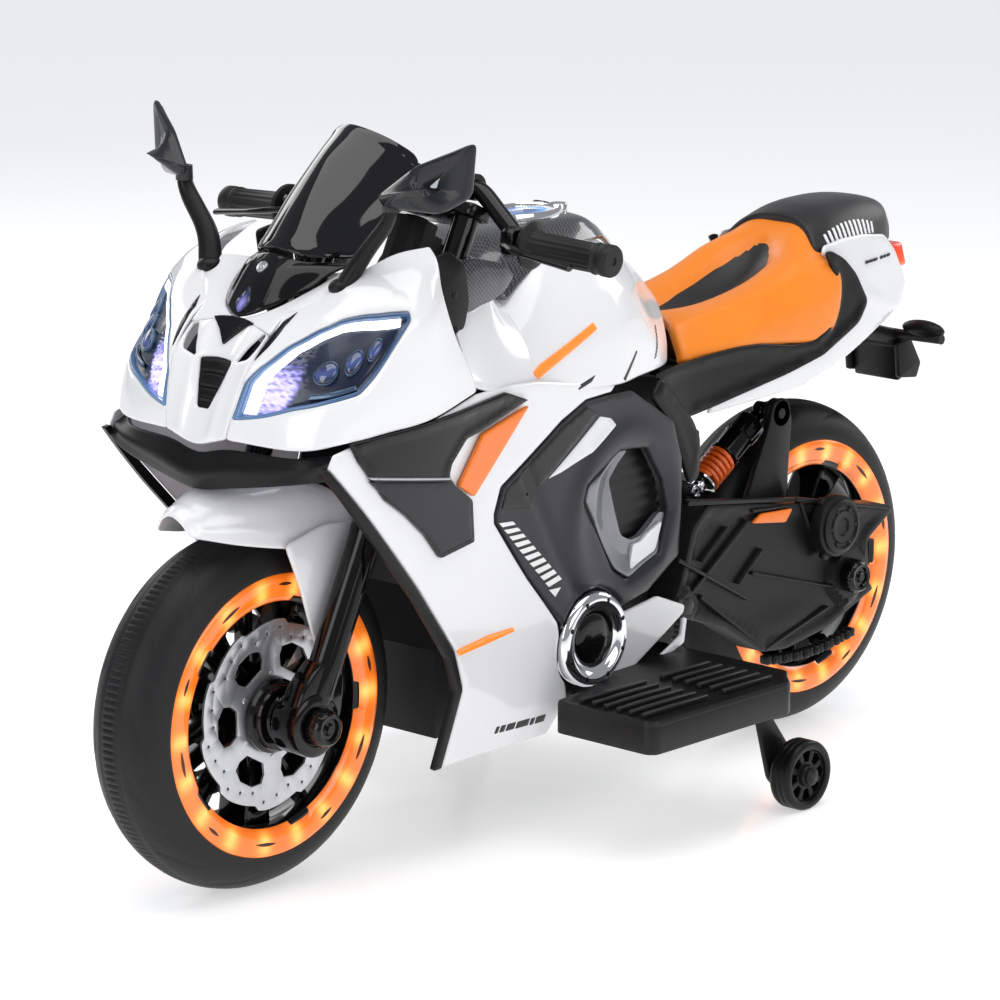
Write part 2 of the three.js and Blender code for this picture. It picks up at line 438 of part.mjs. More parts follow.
// monoshock on the left: rod end pinned to the frame lug, cylinder end to the swingarm tower
const SH_A = [-213, 40, 288];
const SH_B = [-321, 40, 358];
const SH_L = Math.hypot(SH_B[0] - SH_A[0], SH_B[2] - SH_A[2]);
const along = (d) => SH_A.map((a, i) => a + ((SH_B[i] - a) * d) / SH_L);
const shockRod = sum(ball(8, SH_A), rod(SH_A, along(84), 5, 16), rod(along(12), along(16), 17, 20), rod(along(4), along(14), 8, 16),
  cylY(5, 22, 42, SH_A[0], SH_A[2], 16));
put('shock_rod', shockRod, STEEL);
put('shock_spring', rod(along(16.5), along(54), 18, 20).subtract(rod(along(10), along(60), 9, 16)), ORANGE);
put('shock_cylinder', sum(rod(along(54.5), along(108), 17, 24), rod(along(100), SH_B, 8, 16), ball(8, SH_B),
  cylY(5, 40, 67, SH_B[0], SH_B[2], 16)).subtract(rod(along(40), along(98), 5 + GAP, 16)), BLACK);

// ---- footrests and stabiliser wheels ------------------------------------------------
const RIBS = [[-92, -20], [0, 96]];
let foot = plan([[-130, 58.3], [40, 58.3], [50, 126], [112, 140], [112, 258], [104, 266], [-98, 266], [-112, 250], [-130, 236]], 115, 150);
foot = foot.subtract(plan([[-120, 66], [34, 66], [44, 132], [104, 146], [104, 252], [98, 258], [-94, 258], [-106, 244], [-122, 230]], 115 - 1, 144));
RIBS.forEach(([x0, x1]) => {
  for (let k = 0; k < 5; k += 1) foot = foot.add(box(x0, x1, 160 + k * 18, 166 + k * 18, 149, 153));
});
foot = foot.add(box(-122, -78, 186, 244, 115, 146)).add(box(-20, 20, 66, 258, 118, 146)).subtract(cylY(48.6, 50, 130.6, 38, 194, 28));
pair('footrest', foot, BLACK);
const WHEEL = [-153, 36];
const bracketSide = prism([[-80, 114.7], [-80, 108], [-112, 98], [-134, 24], [-144, 18], [-162, 18], [-172, 30], [-168, 52], [-120, 114.7]], 206, 213);
pair('training_bracket', sum(bracketSide, box(-120, -80, 190, 240, 108, 114.7), cylY(5, 212, 251, WHEEL[0], WHEEL[1], 12),
  cylY(9, 248 + GAP, 252, WHEEL[0], WHEEL[1], 16), cylY(9, 212, 222 - GAP, WHEEL[0], WHEEL[1], 16)), BLACK);
let trainer = lathe([[5 + GAP, 222], [12, 222], [14, 227], [27, 227], [28, 223], [33, 222.5], [36, 226], [36, 244], [33, 247.5], [28, 247],
  [27, 243], [14, 243], [12, 248], [5 + GAP, 248]], 20);
for (let k = 0; k < 8; k += 1) {
  trainer = trainer.subtract(prism([[15, -2.6], [25, -4.5], [25, 4.5], [15, 2.6]], 215, 255).turnY(k * 45));
}
pair('training_wheel', trainer.translate([WHEEL[0], 0, WHEEL[1]]), BLACK);

export default part;
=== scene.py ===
"""Children's battery ride-on sport motorcycle with two stabiliser wheels.

Metres; +X forward, +Y the rider's left, +Z up, floor at z = 0.
Sizes inside the sections are in millimetres, and build() turns them into metres.
"""
import math

import bmesh
import bpy
import numpy as np
from mathutils import Matrix, Vector
from mathutils.bvhtree import BVHTree
from mathutils.geometry import delaunay_2d_cdt


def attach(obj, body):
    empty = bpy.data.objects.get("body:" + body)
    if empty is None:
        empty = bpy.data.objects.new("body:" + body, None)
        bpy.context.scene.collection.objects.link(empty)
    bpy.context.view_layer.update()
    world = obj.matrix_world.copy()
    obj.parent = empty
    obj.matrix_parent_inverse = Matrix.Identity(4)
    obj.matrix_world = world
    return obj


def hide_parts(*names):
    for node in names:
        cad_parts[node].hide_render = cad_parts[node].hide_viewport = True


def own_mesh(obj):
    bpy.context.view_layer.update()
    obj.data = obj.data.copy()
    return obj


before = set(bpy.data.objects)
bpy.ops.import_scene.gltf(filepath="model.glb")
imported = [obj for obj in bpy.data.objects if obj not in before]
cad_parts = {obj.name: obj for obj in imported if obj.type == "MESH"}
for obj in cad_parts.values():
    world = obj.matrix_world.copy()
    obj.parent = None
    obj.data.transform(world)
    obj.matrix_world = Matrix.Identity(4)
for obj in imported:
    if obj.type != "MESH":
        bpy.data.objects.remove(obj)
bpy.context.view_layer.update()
scene = bpy.context.scene
scene.view_settings.view_transform = "Standard"

# ---- camera --------------------------------------------------------------
# A long lens stands a few metres off the front left corner of the machine,
# a little above the seat, and looks slightly down at it.
eye = Vector((3.3302, 3.0372, 1.3555))
aim = Vector((0.040, 0.0, 0.316))
camera_data = bpy.data.cameras.new("camera")
camera_data.sensor_width = 36
camera_data.lens = 165.35
camera_data.clip_start = 0.1
camera_data.clip_end = 60
camera = bpy.data.objects.new("camera", camera_data)
camera.location = eye
camera.rotation_euler = (aim - eye).to_track_quat("-Z", "Y").to_euler()
scene.collection.objects.link(camera)
scene.camera = camera

# ---- studio --------------------------------------------------------------
# A white room: bright to the eye and dimmer in reflections, so that gloss
# black still reads black. Three soft boxes and a strip give the highlights.
room = bpy.data.worlds.new("room")
room.use_nodes = True
scene.world = room
room_nodes = room.node_tree.nodes
room_links = room.node_tree.links
room_nodes.clear()
room_out = room_nodes.new("ShaderNodeOutputWorld")
room_mix = room_nodes.new("ShaderNodeMixShader")
room_path = room_nodes.new("ShaderNodeLightPath")
room_dim = room_nodes.new("ShaderNodeBackground")
room_dim.inputs["Color"].default_value = (0.93, 0.96, 1.0, 1)
room_dim.inputs["Strength"].default_value = 0.34
room_seen = room_nodes.new("ShaderNodeBackground")
room_seen.inputs["Color"].default_value = (1, 1, 1, 1)
room_seen.inputs["Strength"].default_value = 1.0
room_links.new(room_path.outputs["Is Camera Ray"], room_mix.inputs["Fac"])
room_links.new(room_dim.outputs["Background"], room_mix.inputs[1])
room_links.new(room_seen.outputs["Background"], room_mix.inputs[2])
room_links.new(room_mix.outputs["Shader"], room_out.inputs["Surface"])


def soft_box(name, place, target, width, height, power):
    """A rectangular area light that faces a point on the machine."""
    data = bpy.data.lights.new(name, "AREA")
    data.shape = "RECTANGLE"
    data.size = width
    data.size_y = height
    data.energy = power
    lamp = bpy.data.objects.new(name, data)
    lamp.location = place
    direction = Vector(target) - Vector(place)
    lamp.rotation_euler = direction.to_track_quat("-Z", "Y").to_euler()
    scene.collection.objects.link(lamp)


soft_box("overhead_box", (0.3, 0.4, 2.9), (0, 0, 0.3), 3.2, 2.2, 50)
soft_box("front_box", (3.4, 0.2, 1.5), (0.3, 0, 0.4), 1.3, 1.9, 22)
soft_box("left_box", (0.2, 3.4, 1.7), (0, 0, 0.35), 2.6, 1.4, 27)
soft_box("right_box", (-0.6, -3.2, 1.9), (0, 0, 0.4), 2.4, 1.6, 27)
soft_box("rear_box", (-3.4, 0.5, 1.8), (-0.3, 0, 0.4), 1.6, 1.4, 20)

floor_mesh = bpy.data.meshes.new("floor")
floor_mesh.from_pydata([(-30, -30, 0), (30, -30, 0), (30, 30, 0), (-30, 30, 0)], [], [(0, 1, 2, 3)])
floor = bpy.data.objects.new("floor", floor_mesh)
scene.collection.objects.link(floor)
floor_look = bpy.data.materials.new("studio_floor")
floor_look.use_nodes = True
floor_nodes = floor_look.node_tree.nodes
floor_shader = floor_nodes["Principled BSDF"]
floor_shader.inputs["Base Color"].default_value = (0.93, 0.93, 0.94, 1)
floor_shader.inputs["Roughness"].default_value = 0.16
floor_shader.inputs["Specular IOR Level"].default_value = 0.35
floor_shader.inputs["Emission Color"].default_value = (1, 1, 1, 1)
floor_shader.inputs["Emission Strength"].default_value = 0.5
floor_noise = floor_nodes.new("ShaderNodeTexNoise")
floor_noise.inputs["Scale"].default_value = 3
floor_range = floor_nodes.new("ShaderNodeMapRange")
floor_range.inputs["To Min"].default_value = 0.14
floor_range.inputs["To Max"].default_value = 0.2
floor_look.node_tree.links.new(floor_noise.outputs["Fac"], floor_range.inputs["Value"])
floor_look.node_tree.links.new(floor_range.outputs["Result"], floor_shader.inputs["Roughness"])
floor_mesh.materials.append(floor_look)

# ---- tyres -----------------------------------------------------------------
# Two fat matt black tyres, moulded in one go over the rims. A ribbed band runs
# round the middle, and long curved sipes sweep down both shoulders.
def build(name, shape, look, body, node=(), smooth=35):
    """A piece from (points in mm, faces) that rides on a body and stands for CAD nodes."""
    points, faces = shape
    mesh = bpy.data.meshes.new(name)
    mesh.from_pydata((np.asarray(points, float) * 0.001).tolist(), [], faces)
    clean = bmesh.new()
    clean.from_mesh(mesh)
    bmesh.ops.remove_doubles(clean, verts=clean.verts, dist=3e-6)
    bmesh.ops.dissolve_degenerate(clean, edges=clean.edges, dist=1e-6)
    bmesh.ops.recalc_face_normals(clean, faces=clean.faces)
    clean.to_mesh(mesh)
    clean.free()
    mesh.materials.append(look)
    mesh.shade_smooth()
    mesh.set_sharp_from_angle(angle=math.radians(smooth))
    piece = bpy.data.objects.new(name, mesh)
    scene.collection.objects.link(piece)
    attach(piece, body)
    if node:
        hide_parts(*([node] if isinstance(node, str) else node))
    return piece


def merge(*shapes):
    """Several shapes as one."""
    points, faces, start = [], [], 0
    for p, f in shapes:
        points.append(np.asarray(p, float).reshape(-1, 3))
        faces += [tuple(i + start for i in face) for face in f]
        start += len(points[-1])
    return np.vstack(points), faces


def place(shape, shift=(0, 0, 0), turn=None, mirror=False):
    """A shape mirrored in the middle plane, turned by a matrix, then shifted."""
    points, faces = shape
    points = np.array(points, float)
    if mirror:
        points[:, 1] *= -1
        faces = [tuple(reversed(f)) for f in faces]
    if turn is not None:
        points = points @ np.array(turn.to_3x3()).T
    return points + np.array(shift, float), faces


def lofted(rings, closed_ring=True, closed_loft=False, capped=False):
    """Faces between successive rings of equally many points."""
    count, size = len(rings), len(rings[0])
    points = np.asarray(rings, float).reshape(-1, 3)
    faces = []
    for i in range(count if closed_loft else count - 1):
        a, b = i * size, ((i + 1) % count) * size
        for j in range(size if closed_ring else size - 1):
            k = (j + 1) % size
            faces.append((a + j, a + k, b + k, b + j))
    if capped:
        faces += [tuple(reversed(range(size))), tuple(range((count - 1) * size, count * size))]
    return points, faces


def turned(profile, steps=96, centre=(0, 0, 0), closed=False, radius=None):
    """A profile of (r, y) turned about an axle along y; radius(angle, r, y) may change r."""
    rings = []
    for k in range(steps):
        a = 2 * math.pi * k / steps
        ring = []
        for r, y in profile:
            s = radius(a, r, y) if radius else r
            ring.append((centre[0] + s * math.cos(a), centre[1] + y, centre[2] + s * math.sin(a)))
        rings.append(ring)
    return lofted(rings, closed_ring=closed, closed_loft=True)


def finish(name, colour, rough, metal=0.0, coat=0.0, vary=0.06, grain=900.0, depth=0.00004, cloud=14.0,
           rough_vary=0.05, pale_edges=0.0, coat_rough=0.06, sheen=0.0, specular=0.5):
    """A moulded or painted finish: cloudy colour, fine grain, uneven roughness, paler sharp convex edges.
    """
    look = bpy.data.materials.new(name)
    look.use_nodes = True
    nodes, links = look.node_tree.nodes, look.node_tree.links
    shader = nodes["Principled BSDF"]
    shader.inputs["Metallic"].default_value = metal
    shader.inputs["Coat Weight"].default_value = coat
    shader.inputs["Coat Roughness"].default_value = coat_rough
    shader.inputs["Sheen Weight"].default_value = sheen
    shader.inputs["Specular IOR Level"].default_value = specular
    where = nodes.new("ShaderNodeTexCoord")
    clouds = nodes.new("ShaderNodeTexNoise")
    clouds.inputs["Scale"].default_value = cloud
    clouds.inputs["Detail"].default_value = 5
    links.new(where.outputs["Object"], clouds.inputs["Vector"])
    tint = nodes.new("ShaderNodeValToRGB")
    tint.color_ramp.elements[0].position = 0.3
    tint.color_ramp.elements[1].position = 0.7
    tint.color_ramp.elements[0].color = (*(c * (1 - vary) for c in colour), 1)
    tint.color_ramp.elements[1].color = (*(min(1, c * (1 + vary)) for c in colour), 1)
    links.new(clouds.outputs["Fac"], tint.inputs["Fac"])
    paint = tint.outputs["Color"]
    # Paler edges: mixes towards a lighter colour where pointiness marks sharp convex edges.
    if pale_edges:
        edge = nodes.new("ShaderNodeNewGeometry")
        edge_paling = nodes.new("ShaderNodeMapRange")
        edge_paling.inputs["From Min"].default_value = 0.53
        edge_paling.inputs["From Max"].default_value = 0.62
        edge_paling.inputs["To Max"].default_value = pale_edges
        links.new(edge.outputs["Pointiness"], edge_paling.inputs["Value"])
        mix = nodes.new("ShaderNodeMix")
        mix.data_type = "RGBA"
        mix.inputs["B"].default_value = (*(min(1, c * 2.2 + 0.05) for c in colour), 1)
        links.new(edge_paling.outputs["Result"], mix.inputs["Factor"])
        links.new(paint, mix.inputs["A"])
        paint = mix.outputs["Result"]
    links.new(paint, shader.inputs["Base Color"])
    fine = nodes.new("ShaderNodeTexNoise")
    fine.inputs["Scale"].default_value = grain
    fine.inputs["Detail"].default_value = 3
    links.new(where.outputs["Object"], fine.inputs["Vector"])
    shine = nodes.new("ShaderNodeMapRange")
    shine.inputs["To Min"].default_value = max(0.02, rough - rough_vary)
    shine.inputs["To Max"].default_value = rough + rough_vary
    links.new(clouds.outputs["Fac"], shine.inputs["Value"])
    links.new(shine.outputs["Result"], shader.inputs["Roughness"])
    bump = nodes.new("ShaderNodeBump")
    bump.inputs["Strength"].default_value = 0.6
    bump.inputs["Distance"].default_value = depth
    links.new(fine.outputs["Fac"], bump.inputs["Height"])
    links.new(bump.outputs["Normal"], shader.inputs["Normal"])
    return look


AXLE_HEIGHT = 175
FRONT_AXLE = (400, 0, AXLE_HEIGHT)
REAR_AXLE = (-400, 0, AXLE_HEIGHT)
WHEELS = {"front": (FRONT_AXLE, "front_wheel"), "rear": (REAR_AXLE, "rear_wheel")}
HALF_TYRE = 45
tyre_rubber = finish("tyre_rubber", (0.009, 0.009, 0.01), 0.5, specular=0.3, vary=0.25, grain=1500,
                     depth=0.00009, pale_edges=0.25)


def tyre_shape():
    steps, half = 480, []
    for i in range(-26, 27):
        y = HALF_TYRE * math.sin(i / 26 * math.pi / 2 * 0.985)
        half.append((AXLE_HEIGHT - 38.6 * (1 - math.sqrt(max(0, 1 - (y / HALF_TYRE) ** 2))), y))
    side = [(139.4, 44.6), (138.6, 43.4), (138.4, 41.5), (138.3, 37.0), (128.4, 35.2)]
    profile = half + side + [(r, -y) for r, y in reversed(side)]

    def tread(a, r, y):
        if r < 139.5:
            return r
        turns = a / (2 * math.pi)
        depth = 0.0
        if abs(y) < 8.5:
            rib = math.cos(turns * 160 * 2 * math.pi)
            depth += 1.5 * min(1, max(0, 0.5 + 1.6 * rib)) * min(1, (8.5 - abs(y)) / 1.5)
        depth += 1.3 * math.exp(-((abs(y) - 11.2) / 1.1) ** 2)
        reach = (abs(y) - 16) / 27
        if 0 < reach < 1:
            sweep = (turns * 14 + 0.9 * reach ** 1.6 + (0.5 if y < 0 else 0)) % 1 - 0.5
            cut = math.exp(-(sweep / 0.035) ** 2) + 0.6 * math.exp(-((sweep - 0.13) /
                                                                     0.03) ** 2) * (reach < 0.7)
            depth += 1.5 * cut * min(1, reach * 5) * min(1, (1 - reach) * 4)
        return r - depth

    return turned(profile, steps, closed=True, radius=tread)


tyre = tyre_shape()
for end, (axle, body) in WHEELS.items():
    build(f"{end}_tyre_tread", place(tyre, axle), tyre_rubber, body,
          f"{end}_tyre", smooth=40)

# ---- light rings -------------------------------------------------------------
# A clear orange plastic ring on each face of both wheels, lit from behind by a
# chain of warm lamps. It has long slots, drawn as solid arcs of painted shade,
# and a stepped inner edge over the rim.
LAMPS = 18
SIDES = ((1, "left"), (-1, "right"))


def lit(name, colour, glow, strength, rough=0.22, coat=0.6):
    """Clear plastic whose emission follows the attribute glow: lamp light behind it on most parts, a
    painted highlight on the headlamp projectors.
    """
    look = finish(name, colour, rough, coat=coat, vary=0.1, cloud=40, grain=300, depth=0.00005)
    nodes, links = look.node_tree.nodes, look.node_tree.links
    shader = nodes["Principled BSDF"]
    lamps = nodes.new("ShaderNodeAttribute")
    lamps.attribute_name = "glow"
    ramp = nodes.new("ShaderNodeValToRGB")
    ramp.color_ramp.elements[0].color = (*colour, 1)
    ramp.color_ramp.elements[1].color = (*glow, 1)
    links.new(lamps.outputs["Fac"], ramp.inputs["Fac"])
    links.new(ramp.outputs["Color"], shader.inputs["Emission Color"])
    level = nodes.new("ShaderNodeMapRange")
    level.inputs["To Min"].default_value = strength[0]
    level.inputs["To Max"].default_value = strength[1]
    links.new(lamps.outputs["Fac"], level.inputs["Value"])
    links.new(level.outputs["Result"], shader.inputs["Emission Strength"])
    return look


def paint_glow(pieces, bright):
    """Writes bright(x, y, z in mm) at every vertex of some pieces."""
    for piece in pieces:
        layer = piece.data.attributes.new("glow", "FLOAT", "POINT")
        layer.data.foreach_set("value", [bright(*(1000 * c for c in v.co)) for v in piece.data.vertices])


ring_lens = lit("ring_lens", (0.9, 0.17, 0.006), (1.0, 0.5, 0.12), (0.25, 1.7))
# Painted shade: the slots are solid arcs in a darkened copy of the ring orange.
slot_painted_shade = finish("slot_painted_shade", (0.05, 0.012, 0.004), 0.4)


def ring_shape(side):
    """The ring's bent strip on one face; its inner edge steps in and out around the wheel."""
    section = [(137.4, 37.9), (137.4, 43.4), (136.2, 45.2), (130.5, 45.9), (119.0, 45.0), (113.0, 42.8),
               (110.0, 39.8), (111.0, 37.6)]

    def step(a, r, y):
        if r > 117:
            return r
        turns = (a / (2 * math.pi) * 5) % 1
        return r + (3.2 if 0.42 < turns < 0.62 else 0)

    shape = turned(section, 240, closed=True, radius=step)
    return place(shape, mirror=side < 0)


def slot_shape(side):
    """Short arcs on the face of the ring, coloured with painted shade where the slots open."""
    shapes = []
    for k in range(10):
        start = 2 * math.pi * k / 10 + 0.35
        arc = 0.2 if k % 2 else 0.13
        rings = []
        for i in range(13):
            a = start + arc * i / 12
            fat = 1.7 * math.sin(math.pi * (0.06 + 0.88 * i / 12))
            r0 = 124.5 if k % 2 else 127.5
            rings.append([(r * math.cos(a), side * y, r * math.sin(a))
                          for r, y in ((r0 - fat, 46.0), (r0 + fat, 46.2), (r0 + fat, 43), (r0 - fat, 43))])
        shapes.append(lofted(rings, capped=True))
    return merge(*shapes)


for end, (axle, body) in WHEELS.items():
    for side, word in SIDES:
        ring = build(f"{end}_light_ring_{word}", place(ring_shape(side), axle), ring_lens,
                     body, smooth=50)

        def lamp_light(px, py, pz, x=axle[0]):
            a = math.atan2(pz - AXLE_HEIGHT, px - x)
            r = math.hypot(pz - AXLE_HEIGHT, px - x)
            near = 0.5 + 0.5 * math.cos(a * LAMPS + 0.6 * math.sin(a * 3))
            return (0.12 + 0.88 * near ** 2.2) * math.exp(-((r - 124) / 11) ** 2)

        paint_glow([ring], lamp_light)
        build(f"{end}_ring_slots_{word}", place(slot_shape(side), axle), slot_painted_shade, body)

# ---- rims and hubs -------------------------------------------------------------
# Gloss black moulded wheels with five broad hollow spokes and a stepped drum hub
# that hides the bearing and, at the back, the drive.
gloss_black = finish("gloss_black", (0.003, 0.003, 0.0035), 0.1, coat=0.3, specular=0.18, vary=0.3,
                     grain=220, depth=0.00003,
                     rough_vary=0.04)
black_plastic = finish("black_plastic", (0.006, 0.006, 0.0065), 0.34, specular=0.2, vary=0.2, grain=1300,
                       depth=0.00008, pale_edges=0.3)


def turned_about(shape, angle):
    return place(shape, turn=Matrix.Rotation(angle, 4, "Y"))


def box_shape(x0, x1, y0, y1, z0, z1, bevel=1.0):
    """A box with chamfered edges all round."""
    b = min(bevel, (x1 - x0) / 2.2, (y1 - y0) / 2.2, (z1 - z0) / 2.2)
    rings = []
    for y, d in ((y0, b), (y0 + b * 0.3, b * 0.3), (y0 + b, 0), (y1 - b, 0), (y1 - b * 0.3, b * 0.3),
                 (y1, b)):
        c = b * 0.6
        rings.append([(x0 + d + c, y, z0 + d), (x1 - d - c, y, z0 + d), (x1 - d, y, z0 + d + c),
                      (x1 - d, y, z1 - d - c), (x1 - d - c, y, z1 - d), (x0 + d + c, y, z1 - d),
                      (x0 + d, y, z1 - d - c), (x0 + d, y, z0 + d + c)])
    return lofted(rings, capped=True)


def shrink(outline, d):
    """A closed outline drawn in by d, to the left of its direction of travel."""
    n = len(outline)
    area = sum(outline[i][0] * outline[(i + 1) % n][1] - outline[(i + 1) % n][0] * outline[i][1]
               for i in range(n))
    sign = 1 if area > 0 else -1
    result = []
    for i in range(n):
        a, p, b = (np.array(outline[k % n], float) for k in (i - 1, i, i + 1))
        u, v = (p - a), (b - p)
        u, v = u / (np.linalg.norm(u) + 1e-9), v / (np.linalg.norm(v) + 1e-9)
        normal = np.array((-u[1] - v[1], u[0] + v[0])) * sign
        result.append(tuple(p + normal * d / max(0.35, 1 + u @ v)))
    return result


def soften(outline, r, steps=4):
    """A closed outline with its corners rounded by up to r."""
    n, result = len(outline), []
    for i in range(n):
        a, p, b = (np.array(outline[k % n], float) for k in (i - 1, i, i + 1))
        reach = min(r, np.linalg.norm(p - a) * 0.42, np.linalg.norm(b - p) * 0.42)
        s = p + (a - p) / (np.linalg.norm(a - p) + 1e-9) * reach
        e = p + (b - p) / (np.linalg.norm(b - p) + 1e-9) * reach
        for k in range(steps + 1):
            t = k / steps
            result.append(tuple(s * (1 - t) ** 2 + 2 * p * t * (1 - t) + e * t * t))
    return result


def slab(outline, low, high, axis="y", bevel=1.2, corner=3.0, hollow=()):
    """A plate with rounded edges: an outline between two levels of an axis.
    The outline is (x, z) for axis y, (x, y) for z and (y, z) for x; hollow outlines are cut through."""
    def spot(p, level):
        return {"y": (p[0], level, p[1]), "z": (p[0], p[1], level), "x": (level, p[0], p[1])}[axis]

    bevel = min(bevel, abs(high - low) / 2.1)
    loops = [soften(outline, corner) if corner else outline] + [soften(h, corner * 0.8) for h in hollow]
    levels = ((low, bevel), (low + 0.3 * bevel, 0.3 * bevel), (low + bevel, 0), (high - bevel, 0),
              (high - 0.3 * bevel, 0.3 * bevel), (high, bevel))
    shapes, caps = [], []
    for k, loop in enumerate(loops):
        rings = [shrink(loop, d if k == 0 else -d) for _, d in levels]
        shapes.append(lofted([[spot(p, z) for p in ring] for ring, (z, _) in zip(rings, levels)]))
        caps.append(rings[-1])
    points, edges, start = [], [], 0
    for cap in caps:
        n = len(cap)
        points += [Vector(p) for p in cap]
        edges += [(start + i, start + (i + 1) % n) for i in range(n)]
        start += n
    made = delaunay_2d_cdt(points, edges, [], 2 if hollow else 1, 1e-5)
    flat = [tuple(v) for v in made[0]]
    keep = kept(flat, made[2], caps[0], caps[1:])
    for z in (low, high):
        shapes.append(([spot(p, z) for p in flat], keep))
    return merge(*shapes)


def inside(points, loop):
    """Which of some points (n by 2) lie in a closed 2-D loop."""
    points = np.asarray(points, float).reshape(-1, 2)
    odd = np.zeros(len(points), bool)
    for i in range(len(loop)):
        (x0, y0), (x1, y1) = loop[i], loop[(i + 1) % len(loop)]
        if y0 != y1:
            odd ^= ((y0 > points[:, 1]) != (y1 > points[:, 1])) & (
                points[:, 0] < (x1 - x0) * (points[:, 1] - y0) / (y1 - y0) + x0)
    return odd


def kept(flat, faces, outer, holes):
    """The triangles whose middles lie in an outer loop and in none of its holes."""
    flat = np.asarray(flat, float)
    mids = flat[np.array([f[:3] for f in faces])].mean(axis=1)
    good = inside(mids, outer)
    for hole in holes:
        good &= ~inside(mids, hole)
    return [tuple(f) for f, g in zip(faces, good) if g]


def rim_shape():
    barrel = turned([(128, -35.2), (128, 35.2), (137.6, 37.4), (137.6, 40.8), (131, 42.6), (113, 41.5),
                     (109.6, 38.6), (108.2, 30), (112, 20), (116, 0), (112, -20), (108.2, -30),
                     (109.6, -38.6), (113, -41.5), (131, -42.6), (137.6, -40.8), (137.6, -37.4)], 144,
                    closed=True)
    hub = turned([(8.4, -58), (22, -58), (24, -56), (31, -55), (33, -52), (33, -46), (36, -44), (36, -40),
                  (33, -38), (33, -20), (28, 0), (33, 20), (33, 38), (36, 40), (36, 44), (33, 46), (33, 52),
                  (31, 55), (24, 56), (22, 58), (8.4, 58)], 64, closed=True)
    spoke = slab([(26, -17), (60, -12), (114, -19), (114, 19), (60, 12), (26, 17)], -19, 19, bevel=4,
                 corner=6,
                 hollow=[[(48, -6), (96, -10), (100, 0), (96, 10), (48, 6)]])
    web = slab([(30, -3), (112, -3), (112, 3), (30, 3)], -10, 10, bevel=1.2, corner=1)
    spokes = [turned_about(spoke, 2 * math.pi * k / 5 + 0.3) for k in range(5)]
    webs = [turned_about(web, 2 * math.pi * (k + 0.5) / 5 + 0.3) for k in range(5)]
    return merge(barrel, hub, *spokes, *webs)


for end, (axle, body) in WHEELS.items():
    build(f"{end}_wheel_rim", place(rim_shape(), axle), gloss_black, body,
          f"{end}_rim")

# ---- brake discs ---------------------------------------------------------------
# Stamped steel-look discs on both sides of the front wheel: a stepped rim, three
# rows of drilled holes, six large windows and a riveted inner ring.
disc_steel = finish("disc_steel", (0.55, 0.56, 0.58), 0.34, metal=0.85, vary=0.1, grain=700, depth=0.00005)


def circle(r, centre=(0, 0), count=20):
    """The points of a circle."""
    return [(centre[0] + r * math.cos(t), centre[1] + r * math.sin(t))
            for t in (2 * math.pi * k / count for k in range(count))]


def disc_shape(side):
    edge = []
    for k in range(120):
        a = 2 * math.pi * k / 120
        saw = (k / 120 * 10) % 1
        r = 88.5 + 4 * min(1, saw * 1.6) * (saw < 0.86)
        edge.append((r * math.cos(a), r * math.sin(a)))
    holes = [circle(35, count=40)]
    for k in range(6):
        window = []
        for r, da in ((47, -0.26), (57, -0.33), (66, -0.3), (71, -0.12), (71, 0.12), (66, 0.3), (57, 0.33),
                      (47, 0.26)):
            a = 2 * math.pi * k / 6 + da
            window.append((r * math.cos(a), r * math.sin(a)))
        holes.append(window)
    for k in range(30):
        a = 2 * math.pi * (k + 0.2) / 30
        r = (76.3, 80.2, 84.3)[k % 3]
        holes.append(circle(1.55, (r * math.cos(a), r * math.sin(a)), 8))
    plate = slab(edge, 36.2, 38.8, bevel=0.35, corner=0.4, hollow=holes)
    rivets = []
    for k in range(6):
        a = 2 * math.pi * (k + 0.5) / 6
        rivets.append(place(turned([(0.05, 39.6), (2.2, 39.6), (2.9, 39), (2.9, 36)], 12),
                            (41 * math.cos(a), 0, 41 * math.sin(a))))
    return place(merge(plate, *rivets), FRONT_AXLE, mirror=side < 0)


for side, word in SIDES:
    build(f"brake_disc_{word}", disc_shape(side), disc_steel, "front_wheel", f"front_disc_{word}")

# ---- side fairings ---------------------------------------------------------------
# Gloss white moulded panels, one each side, screwed to bosses on the frame. They
# swell out over the engine and fold inwards along their edges.
gloss_white = finish("gloss_white", (0.83, 0.83, 0.84), 0.16, coat=0.5, vary=0.015, grain=90, depth=0.00003,
                     cloud=5, rough_vary=0.03, coat_rough=0.04)


def catmull(p, t):
    """The point at t (0 to 1, a little outside allowed) on a smooth line through points p."""
    n = len(p) - 1
    s = int(min(max(math.floor(t * n), 0), n - 1))
    f = t * n - s
    b, c = p[s], p[s + 1]
    a = p[s - 1] if s else 2 * b - c
    d = p[s + 2] if s + 2 <= n else 2 * c - b
    return 0.5 * (2 * b + (c - a) * f + (2 * a - 5 * b + 4 * c - d) * f * f + (3 * b - a - 3 * c + d) *
                  f ** 3)


def surface(rows, nu, nv, over=0.0):
    """A smooth grid, nu + 1 by nv + 1 points, through rows of points and past their edges by over."""
    rows = [np.array(r, float) for r in rows]
    span = [(-over + (1 + 2 * over) * k / nv) for k in range(nv + 1)]
    lines = [np.array([catmull(r, t) for t in span]) for r in rows]
    return np.array([catmull(lines, -over + (1 + 2 * over) * k / nu) for k in range(nu + 1)])


def across(row):
    """A row of points over both sides, from its half on the rider's left, middle point first."""
    return [(x, -y, z) for x, y, z in row[:0:-1]] + list(row)


def caster(rows, nu=60, nv=60, over=0.05):
    """A surface as something that points can be dropped on."""
    grid = surface(rows, nu, nv, over)
    points = [Vector(p) for p in grid.reshape(-1, 3)]
    size = nv + 1
    faces = [(i * size + j, i * size + j + 1, (i + 1) * size + j + 1, (i + 1) * size + j)
             for i in range(nu) for j in range(nv)]
    return BVHTree.FromPolygons(points, faces)


